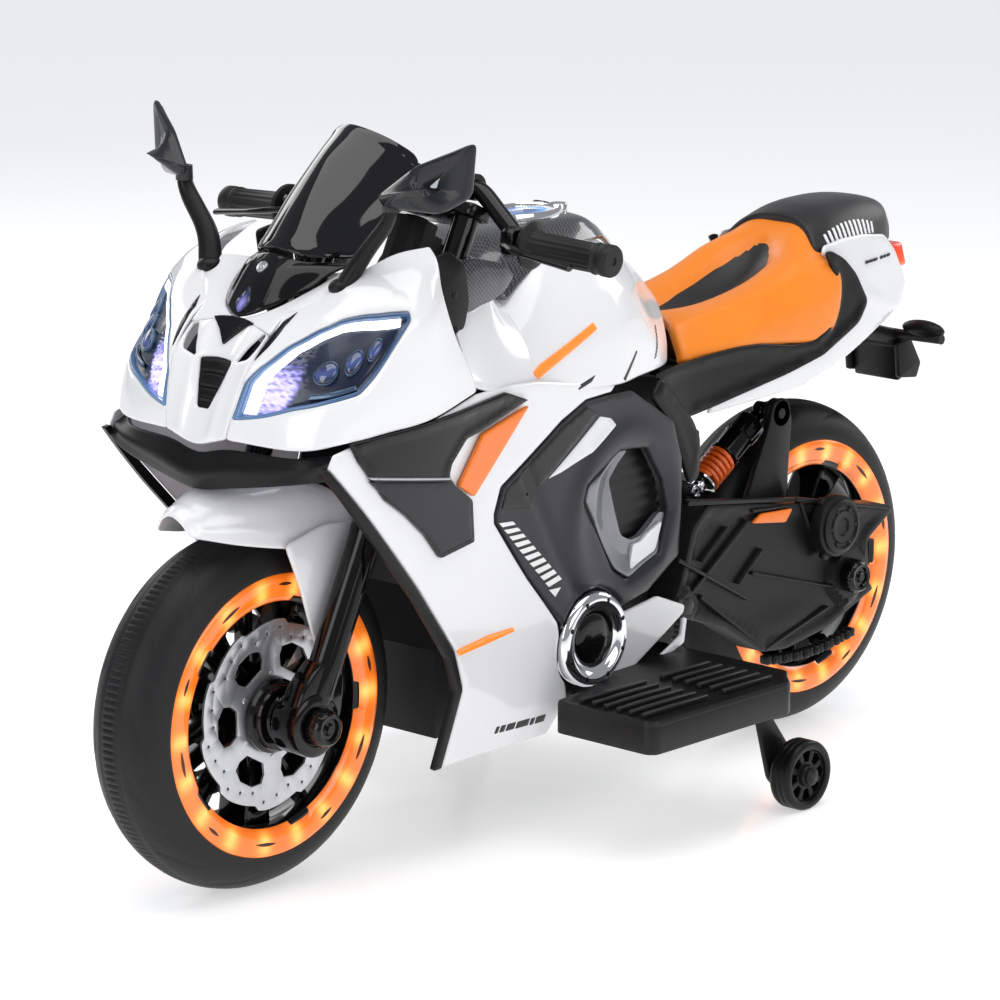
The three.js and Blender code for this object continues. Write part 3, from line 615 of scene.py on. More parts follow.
def drop(tree, axis="y"):
    """A function from a spot in the side or top view to (point, outward normal) on a surface."""
    def on(a, b):
        if axis == "y":
            start, way = Vector((a, 600, b)), Vector((0, -1, 0))
        else:
            start, way = Vector((a, b, 1200)), Vector((0, 0, -1))
        hit, normal, _, _ = tree.ray_cast(start, way)
        if hit is None:
            near = start.copy()
            near["xyz".index(axis)] = 0
            hit, normal, _, _ = tree.find_nearest(near)
        if normal.dot(way) > 0:
            normal = -normal
        return np.array(hit), np.array(normal)
    return on


def distance(p, loop):
    """Distance from points p (n by 2) to a closed 2-D loop."""
    best = np.full(len(p), 1e9)
    for i in range(len(loop)):
        a, b = np.array(loop[i]), np.array(loop[(i + 1) % len(loop)])
        ab = b - a
        t = np.clip(((p - a) @ ab) / (ab @ ab + 1e-12), 0, 1)
        best = np.minimum(best, np.linalg.norm(p - a - t[:, None] * ab, axis=1))
    return best


def dense(loop, step):
    """A closed loop with no side longer than step."""
    result = []
    for i in range(len(loop)):
        a, b = np.array(loop[i], float), np.array(loop[(i + 1) % len(loop)], float)
        n = max(1, int(math.ceil(np.linalg.norm(b - a) / step)))
        result += [tuple(a + (b - a) * k / n) for k in range(n)]
    return result


def panel(outline, on, lift=0.0, thick=2.6, roll=1.4, step=7.0, corner=4.0, hollow=(), shape=None):
    """A moulded panel: an outline dropped on a surface, raised by lift, with rolled edges and a back.
    shape(a, b, d) adds height at a place whose distance from the edge is d."""
    loops = [dense(soften(outline, corner), step * 0.6)] + [dense(soften(h, corner), step * 0.6)
                                                            for h in hollow]
    points, edges = [], []

    def add_loop(loop):
        start, n = len(points), len(loop)
        points.extend(Vector(p) for p in loop)
        edges.extend((start + i, start + (i + 1) % n) for i in range(n))

    for k, loop in enumerate(loops):
        add_loop(loop)
        for d in (roll * 0.35, roll):
            if roll:
                add_loop(shrink(loop, d if k == 0 else -d))
    lows, highs = np.min(loops[0], axis=0), np.max(loops[0], axis=0)
    grid = np.array([(a, b) for a in np.arange(lows[0], highs[0], step)
                     for b in np.arange(lows[1], highs[1], step)])
    if len(grid):
        far = np.min([distance(grid, loop) for loop in loops], axis=0) > roll + step * 0.45
        far &= inside(grid, loops[0])
        for h in loops[1:]:
            far &= ~inside(grid, h)
        points.extend(Vector(p) for p in grid[far])
    made = delaunay_2d_cdt(points, edges, [], 0, 1e-4)
    flat = np.array([tuple(v) for v in made[0]])
    faces = kept(flat, made[2], loops[0], loops[1:])
    away = np.min([distance(flat, loop) for loop in loops], axis=0)
    front, back = [], []
    for (a, b), d in zip(flat, away):
        p, n = on(a, b)
        dip = roll - math.sqrt(max(0, roll * roll - max(0, roll - d) ** 2)) if roll else 0
        high = lift - dip + (shape(a, b, d) if shape else 0)
        front.append(p + n * high)
        back.append(p + n * (lift - thick))
    count = len(front)
    shown = faces + [tuple(reversed([v + count for v in f])) for f in faces]
    used = {}
    for f in faces:
        for i in range(len(f)):
            e = (f[i], f[(i + 1) % len(f)])
            used[e] = True
    for a, b in used:
        if (b, a) not in used:
            shown.append((b, a, a + count, b + count))
    return np.array(front + back), shown


SIDE_X = (-120, 0, 100, 200, 300, 400, 460)
SIDE_HALF_WIDTH = ((90, (96, 101, 105, 104, 110, 124, 130)), (200, (103, 113, 124, 125, 131, 140, 142)),
                   (300, (105, 117, 128, 133, 140, 146, 148)), (380, (102, 119, 131, 139, 147, 150, 150)),
                   (460, (99, 119, 134, 145, 155, 151, 144)))
side_skin = drop(caster([[(x, y, z) for x, y in zip(SIDE_X, ys)] for z, ys in SIDE_HALF_WIDTH]))


def both(name, shape, look, body, node=None, smooth=35):
    """A left piece and its mirror image; node is the CAD name before its _left or _right."""
    return [build(f"{name}_{word}", place(shape, mirror=side < 0), look, body,
                  f"{node}_{word}" if node else (), smooth) for side, word in SIDES]


side_outline = [(239, 101), (225, 180), (244, 224), (303, 296), (379, 379), (431, 434), (424, 446),
                (400, 451),
                (304, 457), (233, 474), (180, 474), (134, 470), (80, 460), (20, 450), (0, 444), (8, 438),
                (53, 438),
                (95, 424), (187, 375), (195, 350), (194, 341), (140, 275), (92, 222), (62, 135), (88, 103)]


def cut_round(outline, centre, r):
    """An outline with the points inside a circle pushed out to it."""
    result = []
    for p in dense(outline, 6):
        d = math.hypot(p[0] - centre[0], p[1] - centre[1])
        if d < r:
            p = (centre[0] + (p[0] - centre[0]) * r / d, centre[1] + (p[1] - centre[1]) * r / d)
        result.append(p)
    return result


def side_swell(a, b, d):
    """The two soft creases that cross the panel."""
    crease = abs((b - 150) - (a - 60) * 0.42) / 9
    return -0.9 * math.exp(-crease ** 2) * min(1, d / 12)


RING_AT = (38, 194)
RING_CLEARANCE = 50.5
side_cut = cut_round(side_outline, RING_AT, RING_CLEARANCE)
both("side_panel", panel(side_cut, side_skin, thick=3.1, roll=2.6, corner=2, shape=side_swell), gloss_white,
     "chassis", "side_fairing", smooth=50)

# ---- nose ------------------------------------------------------------------------
# The front mask: a white shell each side round a lamp window, a white wedge between
# them with a dark grille and two slots, and brow panels that run up to the cowl.
class Patch:
    """A smooth surface through rows of points, addressed in mm: a along each row, b from row to row."""

    def __init__(self, rows, outward, n=96):
        self.grid = surface(rows, n, n)
        self.n = n
        g = self.grid
        self.width = float(np.linalg.norm(np.diff(g[n // 2], axis=0), axis=1).sum())
        self.height = float(np.linalg.norm(np.diff(g[:, n // 2], axis=0), axis=1).sum())
        along, up = np.gradient(g, axis=1), np.gradient(g, axis=0)
        normal = np.cross(along, up)
        normal /= np.linalg.norm(normal, axis=2, keepdims=True) + 1e-9
        if (normal[n // 2, n // 2] @ np.array(outward)) < 0:
            normal = -normal
        self.normal = normal

    def __call__(self, a, b):
        x = min(max(a / self.width, 0), 1) * self.n
        y = min(max(b / self.height, 0), 1) * self.n
        i, j = min(int(y), self.n - 1), min(int(x), self.n - 1)
        s, t = y - i, x - j
        weights = (((1 - s) * (1 - t), i, j), ((1 - s) * t, i, j + 1), (s * (1 - t), i + 1, j),
                   (s * t, i + 1, j + 1))
        p = sum(w * self.grid[k, m] for w, k, m in weights)
        normal = sum(w * self.normal[k, m] for w, k, m in weights)
        return p, normal / (np.linalg.norm(normal) + 1e-9)

    def nearest(self, grid, p):
        """The (a, b) of the place where a grid of the surface's points comes nearest to p."""
        gap = ((grid - np.array(p)) ** 2).sum(axis=2)
        i, j = np.unravel_index(gap.argmin(), gap.shape)
        i, j = min(max(i, 1), self.n - 1), min(max(j, 1), self.n - 1)
        da, db = (grid[i, j + 1] - grid[i, j - 1]) / 2, (grid[i + 1, j] - grid[i - 1, j]) / 2
        t, s = np.linalg.lstsq(np.stack([da, db], axis=1), np.array(p) - grid[i, j], rcond=None)[0]
        return ((j + max(-1.5, min(1.5, t))) / self.n * self.width,
                (i + max(-1.5, min(1.5, s))) / self.n * self.height)

    def find(self, p):
        """The (a, b) nearest to a point."""
        return self.nearest(self.grid, p)

    def from_above(self, outline):
        """An outline drawn in the top view, as (a, b) on the surface."""
        return [self.nearest(self.grid[..., [0, 1]], p) for p in dense(outline, 5)]

    def whole(self, inset=0.0):
        w, h = self.width - inset, self.height - inset
        return [(inset, inset), (w, inset), (w, h), (inset, h)]


nose_rows = [
    [(458, 40, 450), (440, 115, 448), (411, 150, 455), (360, 156, 458), (304, 158, 462), (233, 150, 477)],
    [(455, 44, 470), (432, 118, 474), (404, 152, 480), (358, 162, 486), (312, 164, 492), (244, 152, 500)],
    [(446, 48, 497), (418, 118, 505), (392, 150, 512), (356, 162, 518), (316, 166, 528), (262, 152, 530)],
    [(436, 52, 520), (400, 112, 538), (368, 142, 550), (345, 160, 560), (314, 165, 566), (280, 150, 578)],
    [(412, 56, 545), (385, 100, 562), (355, 122, 580), (330, 135, 592), (300, 138, 600), (268, 132, 604)],
    [(390, 52, 562), (372, 76, 574), (352, 92, 592), (325, 104, 606), (298, 110, 614), (262, 116, 616)],
]
nose = Patch(nose_rows, (1, 0.6, 0.3))
lamp_window = [nose.find(p) for p in (
    (455, 44, 469), (451, 47, 482), (444, 51, 504), (435, 59, 516), (414, 77, 537), (394, 98, 553),
    (378, 114, 563),
    (355, 138, 568), (334, 158, 570), (336, 163, 562), (356, 161, 539), (377, 157, 514), (395, 153, 499),
    (417, 134, 492), (433, 105, 484), (446, 74, 474))]


def nose_crease(a, b, d):
    """A raised brow line over the lamp and a soft fold towards the rear."""
    p, _ = nose(a, b)
    brow = (p[2] - (588 - 0.14 * (p[0] - 330))) / 5
    return (0.8 * math.exp(-brow ** 2) if p[0] < 400 else 0) * min(1, d / 8)


both("nose_panel", panel(nose.whole(), nose, thick=3.0, roll=2.2, step=6, corner=5, hollow=[lamp_window],
                         shape=nose_crease), gloss_white, "chassis", "nose_fairing",
     smooth=50)
mid_rows = [across(r) for r in (
    [(461, 0, 442), (458, 39.4, 450)], [(449, 0, 473), (455, 43.4, 470)], [(436, 0, 500), (446, 47.4, 497)],
    [(421, 0, 527), (436, 51.4, 520)], [(401, 0, 553), (411, 52, 545)])]
nose_mid = Patch(mid_rows, (1, 0, 0.3))
mouth = [nose_mid.find(p) for p in (
    (431, 21, 518), (440, 15, 496), (449, 8, 474), (449, -8, 474), (440, -15, 496), (431, -21, 518))]
slots = [[nose_mid.find((x, y * hand, z)) for x, y, z in (
    (432, 26, 518), (422, 34, 533), (411, 43, 546), (413, 48.5, 545), (422, 48.5, 535), (431, 44, 523))]
    for hand in (1, -1)]


def beak(a, b, d):
    """Two white horns that stand up beside the dark mouth."""
    side = abs(a - nose_mid.width / 2)
    return 2.4 * math.exp(-((side - 25) / 7) ** 2) * min(1, d / 6)


build("nose_wedge", panel(nose_mid.whole(0.6), nose_mid, thick=3, roll=2, step=3.0, corner=4,
                          hollow=[mouth] + slots, shape=beak), gloss_white, "chassis",
      "nose_center", smooth=50)
slot_side = [nose.find(p) for p in ((433, 54, 522), (421, 61, 535), (402, 64, 553), (386, 65, 564),
                                    (398, 58.5, 555),
                                    (411, 57.5, 546), (424, 55, 532))]
both("nose_slot_trim", panel(slot_side, nose, lift=1.0, thick=2.4, roll=0.8, step=3, corner=2,
                             shape=lambda a, b, d: -0.3 * min(1, max(0, (d - 1.2) / 1.5))), gloss_black,
     "chassis",
     smooth=50)
throat = [nose_mid.find(p) for p in (
    (420, 0, 529), (411, 13, 541), (403, 27, 551), (402, 0, 553), (403, -27, 551), (411, -13, 541))]
build("nose_throat", panel(throat, nose_mid, lift=2.6, thick=3.5, roll=0.9, step=3, corner=2,
                           shape=lambda a, b, d: -0.6 * min(1, max(0, (d - 1.5) / 2))), gloss_black,
      "chassis",
      smooth=50)
build("nose_inner", panel(nose_mid.whole(9), nose_mid, lift=-6.5, thick=1.5, roll=0, step=8, corner=3),
      black_plastic,
      "chassis", smooth=50)
build("nose_grille", panel(shrink(dense(soften(mouth, 3), 4), -0.2), nose_mid, lift=-2.2, thick=2, roll=0.6,
                           step=2.2, corner=0.5,
                           shape=lambda a, b, d: 0.9 * math.cos(b * 2 * math.pi / 5.2) * min(1, d / 2)),
      black_plastic, "chassis", smooth=60)

brow_rows = [
    [(403, 4, 553), (387, 31, 563), (354, 51, 580), (322, 60, 594)],
    [(407, 30, 550), (393, 45, 560), (366, 64, 578), (338, 78, 596)],
    [(412, 52, 546), (391, 55, 562), (371, 78, 574), (351, 94, 592)]]
brow_skin = Patch(brow_rows, (1, 0.3, 1))
both("nose_brow", panel(brow_skin.whole(), brow_skin, lift=-1.0, thick=3, roll=1.2, step=4, corner=2),
     gloss_white,
     "chassis", smooth=50)

# ---- headlamps -------------------------------------------------------------------
# A sealed lamp in each window: a blue light pipe round the edge, a white strip under
# the brow, three dark projectors on a ledge and a bowl that is faceted where lit.
# A painted highlight band runs across the projector lenses.
pipe_blue = lit("lamp_blue_pipe", (0.02, 0.06, 0.15), (0.22, 0.42, 0.75), (0.04, 0.42))
strip_white = lit("lamp_white_strip", (0.75, 0.88, 1.0), (1, 1, 1), (1.4, 3.0))
bowl_blue = lit("lamp_bowl", (0.003, 0.01, 0.035), (0.4, 0.36, 1.0), (0.012, 2.4), rough=0.24, coat=0.3)
# The projector glow is a painted highlight, not lamp light.
projector = lit("lamp_projector_painted_highlight", (0.004, 0.009, 0.03), (0.2, 0.3, 0.9), (0.0, 0.8), rough=0.07, coat=1.0)
projector_frame = finish("lamp_frame", (0.07, 0.12, 0.2), 0.2, metal=0.5, coat=0.4, vary=0.2)
smooth_window = dense(soften(lamp_window, 5), 3)
pipe = both("headlamp_light_pipe", panel(shrink(smooth_window, 0.5), nose, lift=-1.0, thick=7, roll=1.2,
                                         step=3.2,
                                         corner=0.5, hollow=[shrink(smooth_window, 4.4)]),
            pipe_blue, "chassis", smooth=60)
paint_glow(pipe, lambda x, y, z: 0.35 + 0.65 * max(0, min(1, (x - 380) / 80)))


def glow_edge(p):
    """How far a point stands inside the faceted part of the bowl, in mm."""
    return ((p[0] - 419) * 39 + (p[2] - 511) * 22) / 44.8


def bowl_facets(a, b, d):
    """Fluted facets in the lit part and a smooth dark floor in the rest."""
    lit_part = max(0, min(1, glow_edge(nose(a, b)[0]) / 4))
    return (1.1 * math.sin(a * 0.8 + 0.5 * b) * math.sin(b * 0.9 - 0.3 * a) * lit_part - 1.4 *
            (1 - lit_part)) * min(1, d / 4)


bowl = both("headlamp_bowl", panel(shrink(smooth_window, 4.1), nose, lift=-7, thick=3, roll=0, step=2.4,
                                   corner=0.3,
                                   shape=bowl_facets),
            bowl_blue, "chassis", "headlight", smooth=25)


def bowl_light(x, y, z):
    glow = math.exp(-(((x - 430) / 26) ** 2 + ((z - 495) / 26) ** 2))
    spark = 0.62 + 0.38 * math.sin(x * 1.1 + z * 0.4) * math.sin(z * 0.9 - y * 0.5)
    return min(1, glow * spark * 1.9) * max(0, min(1, (glow_edge((x, y, z)) + 6) / 2.5))


paint_glow(bowl, bowl_light)
brow = shrink(smooth_window, 5.4)
brow_in = shrink(smooth_window, 12.6)
brow_keep = [k for k, p in enumerate(brow) if nose(*p)[0][2] - 467 - 0.828 * (455 - nose(*p)[0][0]) > 5]
gap_at = max(range(len(brow_keep)), key=lambda i: (brow_keep[i] - brow_keep[i - 1]) % len(brow))
brow_keep = brow_keep[gap_at:] + brow_keep[:gap_at]
strip_outline = [brow[k] for k in brow_keep] + [brow_in[k] for k in reversed(brow_keep)]
strip = both("headlamp_strip", panel(strip_outline, nose, lift=-3.6, thick=3, roll=0.8, step=2.2,
                                     corner=0.5),
             strip_white, "chassis", smooth=60)
paint_glow(strip, lambda x, y, z: 0.75 + 0.25 * math.sin(x * 0.8 + z * 0.8))


def lamp_dome(centre, radius):
    """A lens bulging from the bowl, in a thin round bezel."""
    a0, b0 = nose.find(centre)
    outline = circle(radius, (a0, b0), 24)
    lens = panel(outline, nose, lift=-4.4, thick=3, roll=0.5, step=1.8, corner=0.2,
                 shape=lambda a, b, d: 2.6 *
                 math.sqrt(max(0, 1 - ((a - a0) ** 2 + (b - b0) ** 2) / radius ** 2)))
    rim = panel(shrink(outline, -1.5), nose, lift=-3.6, thick=4.4, roll=0.6, step=2.4, corner=0.3,
                hollow=[shrink(outline, -0.3)])
    return lens, rim


domes = [lamp_dome(c, r) for c,
         r in (((408, 122, 518), 9.2), ((389, 140, 528), 8.8), ((371, 150, 539), 7.6))]
projector_lenses_painted_highlight = both("headlamp_projectors", merge(*[d[0] for d in domes]), projector, "chassis",
              smooth=60)
# Painted highlight: a bright diagonal band of glow across the three projector lenses.
paint_glow(projector_lenses_painted_highlight, lambda x, y, z: 0.6 * math.exp(-((z - 516 - 0.53 * (408 - x)) / 5) ** 2))
ledge = [nose.find(p) for p in ((424, 112, 499), (410, 134, 503), (396, 150, 509), (396, 152, 504.5),
                                (412, 135, 498),
                                (425, 113, 494.5))]
both("headlamp_ledge", panel(ledge, nose, lift=-4.8, thick=2, roll=0.5, step=3, corner=1), projector_frame,
     "chassis",
     smooth=50)
both("headlamp_bezels", merge(*[d[1] for d in domes]), projector_frame, "chassis", smooth=50)

# ---- chin scoop --------------------------------------------------------------------
# A black moulded scoop hangs under the nose. Its sharp lip runs out to a tip each
# side and down the front edge of both side panels.
chin_rows = [across(r) for r in (
    [(457, 0, 434), (454, 42, 441), (437, 108, 440), (409, 143, 444)],
    [(462, 0, 415), (458, 50, 424), (442, 112, 430), (424, 144, 436)],
    [(458, 0, 398), (455, 55, 406), (446, 110, 416), (433, 147, 425)])]
chin = Patch(chin_rows, (1, 0, 0))
edge_outline = [(433, 434.5), (441, 433), (388, 371), (312, 288), (256, 218), (238, 180), (252, 101),
                (240.5, 101),
                (226.5, 180), (245.5, 223.5), (304.5, 295), (380.5, 378)]


def chin_fold(a, b, d):
    """The lip's raised ridge along the middle of the scoop."""
    return 2.2 * math.exp(-((b - chin.height * 0.55) / 5) ** 2) * min(1, d / 5)


edging = panel(edge_outline, side_skin, lift=1.0, thick=6, roll=1.4, step=5, corner=2)
build("chin_scoop_moulding",
      merge(panel(chin.whole(), chin, lift=0.4, thick=4, roll=1.6, step=5, corner=6, shape=chin_fold),
                                   edging, place(edging, mirror=True)),
      black_plastic, "chassis", "chin_scoop", smooth=50)

# ---- screen and cowl ----------------------------------------------------------------
# A tinted screen that looks solid black, pushed into a gloss black cowl between the
# mirrors. A plain round boss, a small lamp and two shallow ribs stand on the cowl.
screen_rows = [across(r) for r in (
    [(352, 0, 613), (340, 35, 607), (300, 62, 603)], [(318, 0, 655), (300, 38, 646), (262, 62, 628)],
    [(282, 0, 692), (262, 38, 680), (225, 64, 655)], [(247, 0, 718), (232, 36, 708), (200, 60, 684)])]
screen = Patch(screen_rows, (1, 0, 0.8))
tinted_black = finish("tinted_screen", (0.002, 0.002, 0.0025), 0.045, coat=0.6, specular=0.3, vary=0.2,
                      grain=60, depth=0.00001,
                      rough_vary=0.02, coat_rough=0.02)
screen_outline = [(4, 0), (screen.width - 4, 0), (screen.width, screen.height * 0.72),
                  (screen.width * 0.93, screen.height * 0.97), (screen.width * 0.5, screen.height),
                  (screen.width * 0.07, screen.height * 0.97), (0, screen.height * 0.72)]
build("screen_shell", panel(screen_outline, screen, thick=3, roll=1.1, step=5, corner=10,
                            shape=lambda a, b, d: 0.8 * math.exp(-((d - 7) / 2.2) ** 2)),
      tinted_black, "chassis", "windscreen", smooth=60)
cowl_rows = [across(r) for r in (
    [(402, 0, 555), (386, 30, 565), (352, 50, 582)], [(374, 0, 590), (362, 30, 594), (322, 58, 596)],
    [(354, 0, 608), (343, 33, 602), (300, 60, 598)])]
cowl = Patch(cowl_rows, (1, 0, 0.8))
build("screen_cowl_shell", panel(cowl.whole(), cowl, thick=3, roll=1.3, step=4, corner=6,
                                 shape=lambda a, b, d: 1.2 *
                                 math.exp(-((abs(a - cowl.width / 2) - 26) / 4) ** 2)
                                 * min(1, d / 5)),
      gloss_black, "chassis", "screen_cowl", smooth=60)
diamond = [cowl.find(p) for p in ((401, 0, 557), (394, 9.5, 566), (383, 0, 581), (394, -9.5, 566))]
centre_glow = build("centre_lamp", panel(dense(soften(diamond, 2), 2), cowl, lift=1.4, thick=3, roll=0.8,
                                         step=2.2,
                                         corner=0.5, shape=lambda a, b,
                                         d: 0.5 * math.sin(a * 1.2) * min(1, d / 2)),
                    bowl_blue, "chassis", "centre_light", smooth=30)
paint_glow([centre_glow], lambda x, y, z: 0.6 * math.exp(-(y / 5) ** 2 - ((z - 565) / 8) ** 2))
silver_paint = finish("silver_paint", (0.42, 0.43, 0.46), 0.28, metal=0.7, coat=0.5, vary=0.12, grain=900)
build("cowl_boss", panel(circle(8, cowl.find((366, 0, 594)), 32), cowl, lift=1.6, thick=2, roll=0.8, step=2,
                         corner=0.3,
                         shape=lambda a, b, d: -1.0 * (1.6 < d < 5.5)), silver_paint, "chassis",
      smooth=35)

# ---- intake trims ----------------------------------------------------------------
# Gloss black wedges let into the top of each side panel over a charcoal pocket, with
# an orange blade behind. All clip in from behind and stand a little proud.
orange_plastic = finish("orange_plastic", (0.92, 0.2, 0.012), 0.3, coat=0.25, vary=0.05, grain=500,
                        depth=0.00003)


def trim_step(a, b, d):
    """The sunken middle of the wedge and its bright rim."""
    return -1.6 * min(1, max(0, (d - 6) / 2))


both("intake_wedge", panel([(408, 455), (300, 461), (191, 470), (156, 457), (228, 439), (252, 435),
                            (272, 414),
                            (274, 403), (264, 392), (236, 373), (229, 330), (279, 323), (304, 350),
                            (333, 374),
                            (362, 394), (398, 437)],
                           side_skin, lift=5.0, thick=4.5, roll=1.6, step=4.5, corner=3, shape=trim_step),
     gloss_black, "chassis", "intake_trim", smooth=40)
charcoal = finish("charcoal_plastic", (0.018, 0.0185, 0.021), 0.34, coat=0.06, specular=0.3, vary=0.12,
                  grain=800,
                  depth=0.00005, cloud=9, pale_edges=0.35)
both("intake_pocket",
     panel([(384, 416), (272, 397), (240, 375), (233, 333), (279, 327), (303, 352), (332, 376),
                             (361, 396)], side_skin, lift=5.2, thick=4, roll=1.2, step=5, corner=2),
     charcoal,
     "chassis", smooth=45)
both("intake_seam", panel([(386, 421), (275, 402), (274, 399.5), (383, 418)], side_skin, lift=6.0, thick=3,
                          roll=0.6,
                          step=5, corner=0.5), silver_paint, "chassis", smooth=45)
both("intake_blade", panel([(228, 436), (157, 452), (236, 376), (260, 391)],
                           side_skin, lift=6.6, thick=4.0, roll=1.4, step=4.5, corner=3), orange_plastic,
     "chassis", smooth=45)

# ---- engine covers ------------------------------------------------------------------
# A charcoal moulding each side shaped like an engine case, with a dark hole at its
# heart. A silver-painted collar and a bright cup line the hole on two sides.
engine_outline = [(95, 421), (53, 436), (11, 435), (-30, 433), (-104, 390), (-118, 350), (-112, 250),
                  (-60, 222),
                  (-8, 214), (30, 205), (80, 214), (90, 224), (140, 278), (191, 342), (192, 350),
                  (184, 373)]
engine_hole = [(-24, 375), (-7, 376), (51, 351), (55, 337), (2, 257), (-22, 243), (-76, 258), (-92, 300),
               (-82, 333),
               (-54, 371)]
engine_cut = cut_round(engine_outline, RING_AT, RING_CLEARANCE)


def engine_form(a, b, d):
    """Raised shoulder round the hole, a stepped front face and a shallow valley between them."""
    to_hole = math.hypot((a + 19) / 76, (b - 310) / 70)
    shoulder = 3.6 * math.exp(-((to_hole - 1.15) / 0.22) ** 2)
    strip = 1 if (a - 60) - (b - 222) * 0.66 > 0 else 0
    valley = -2.6 * math.exp(-(((a - 52) - (b - 222) * 0.62) / 9) ** 2)
    return (shoulder + valley * (1 - strip) - 0.8 * strip) * min(1, d / 6)


def on_engine(a, b, d):
    """The height of the case, for what is stuck on it."""
    return engine_form(a, b, 99)


both("engine_case", panel(engine_cut, side_skin, lift=1.0, thick=5, roll=2.2, step=4.5, corner=3,
                          hollow=[engine_hole], shape=engine_form), charcoal, "chassis",
     "engine_cover", smooth=38)
silver_paint_engine = finish("silver_collar", (0.17, 0.175, 0.19), 0.3, metal=0.5, coat=0.4, vary=0.3,
                             cloud=11,
                             grain=1200)
cup_silver = finish("silver_cup", (0.72, 0.73, 0.75), 0.3, metal=0.25, coat=0.4, vary=0.15, cloud=11,
                    grain=1200)


def collar_dish(a, b, d):
    """The collar falls away towards the middle of the hole."""
    return 11 * max(0, min(1, (math.hypot(a + 42, b - 325) - 42) / 38)) - 9.5


collar = [(-23, 374), (-7, 375), (50, 350), (54, 337), (1, 258), (-22, 244), (-75, 259), (-90, 298),
          (-80, 300),
          (-62, 288), (-48, 281), (-32, 280), (-15, 288), (-3, 316), (9, 349), (-6, 363)]
both("engine_collar", panel(collar, side_skin, lift=1.6, thick=4, roll=1.2, step=3.6, corner=5,
                            shape=collar_dish),
     silver_paint_engine, "chassis", smooth=50)
both("engine_cup", panel([(-27, 251), (-71, 263), (-82, 291), (-61, 284), (-45, 276), (-33, 276)],
                         side_skin,
                         lift=2.4, thick=2, roll=0.8, step=3.6, corner=4, shape=collar_dish), cup_silver,
     "chassis",
     smooth=50)
both("engine_well", panel(shrink(soften(engine_hole, 4), -5), side_skin, lift=-13, thick=2, roll=0, step=6,
                          corner=1,
                          shape=lambda a, b, d: 1.6 * math.sin(b * 0.55) * min(1, d / 4)), black_plastic,
     "chassis", smooth=60)

# ---- chrome rings -----------------------------------------------------------------
# A bright plated ring low on each side, like a clutch cover: a dished face with
# screws, a milled inner edge and a plain gloss black middle.
chrome = finish("chrome", (0.78, 0.79, 0.81), 0.07, metal=1.0, vary=0.04, grain=400, depth=0.00002,
                rough_vary=0.03)
RING_CENTRE = (38, 118, 194)
ring_body = turned([(29, -4), (48, -4), (48.4, 5), (47, 8.6), (44, 11.4), (40, 12.2), (36, 11), (33.4, 8.4),
                    (31.6, 7),
                    (29, 6.4)], 120, centre=RING_CENTRE, closed=True,
                   radius=lambda a, r, y: r - (0.5 * (math.cos(a * 60) > 0) if r < 32 else 0))
screws = []
for k in range(8):
    t = 2 * math.pi * (k + 0.5) / 8
    screws.append(turned([(0.05, 12.6), (1.7, 12.6), (2.6, 12.0), (2.6, 8)], 14,
                         centre=(RING_AT[0] + 40.6 * math.cos(t), RING_CENTRE[1],
                                 RING_AT[1] + 40.6 * math.sin(t))))
both("clutch_ring", ring_body, chrome, "chassis", "chrome_ring", smooth=45)
both("clutch_ring_screws", merge(*screws), gloss_black, "chassis", smooth=45)
both("clutch_cap", turned([(0.05, 5.6), (12, 5.4), (22, 5.2), (24, 4.0), (26, 4.0), (28.6, 6.0),
                           (28.8, -30), (0.05, -30)],
                          64, centre=RING_CENTRE), gloss_black, "chassis", smooth=45)

# ---- printed marks ------------------------------------------------------------------
# Thin vinyl film on the bodywork: slanted bars and an arrow tip on the engine
# covers, bars and hatching on the tank, bars low on the side, orange light bars.
film_white = finish("film_white", (0.86, 0.86, 0.86), 0.3, vary=0.02, grain=500)
film_black = finish("film_black", (0.01, 0.01, 0.011), 0.3, vary=0.2, grain=500)
both("engine_strip", panel([(186, 353), (180, 372), (95, 418), (53, 432), (36, 422), (120, 371), (139, 360),
                            (138, 347)],
                           side_skin, lift=1.9, thick=1.2, roll=0.4, step=5, corner=2, shape=on_engine),
     gloss_black,
     "chassis", smooth=50)
both("engine_silver", panel([(116, 371), (31, 418), (12, 413), (4, 405), (45, 385), (94, 374)], side_skin,
                            lift=2.0,
                            thick=1.2, roll=0.5, step=5, corner=2, shape=on_engine), cup_silver, "chassis",
     smooth=50)
bars = []
for k in range(10):
    t = k / 9
    x, z = 189 - 74 * t, 340 - 74 * t
    bars.append(panel([(x, z), (x - 21, z - 2 + 6 * t), (x - 26, z - 6 + 5 * t), (x - 6, z - 5)], side_skin,
                      lift=1.9, thick=0.9, roll=0.2, step=5, corner=0.4, shape=on_engine))
bars.append(panel([(109, 258), (90, 257), (99, 249)], side_skin, lift=1.9, thick=0.9, roll=0.2, step=5,
                  corner=0.4,
                  shape=on_engine))
both("engine_strip_bars", merge(*bars), film_white, "chassis", smooth=50)
amber = lit("amber_light_bar", (0.9, 0.17, 0.008), (1.0, 0.42, 0.1), (0.15, 0.7))
low_bar = both("side_light_bar",
               panel([(242, 223), (238, 217), (196, 221), (158, 226), (160, 230), (198, 229)],
                                       side_skin, lift=1.6, thick=3, roll=0.9, step=3, corner=1.5), amber,
               "chassis", smooth=60)
paint_glow(low_bar, lambda x, y, z: 0.6)
name_plate = []
for k, (x0, x1) in enumerate(((168, 163), (161, 154), (152, 140), (138, 120), (118, 112), (110, 96))):
    z = 121 - (168 - x0) * 0.03
    name_plate.append(panel([(x0, z), (x1, z), (x1 - 2, z + 7), (x0 - 2, z + 7)], side_skin, lift=0.35,
                            thick=0.9,
                            roll=0.15, step=5, corner=1.2))
both("side_stripes", merge(*name_plate), film_black, "chassis", smooth=50)

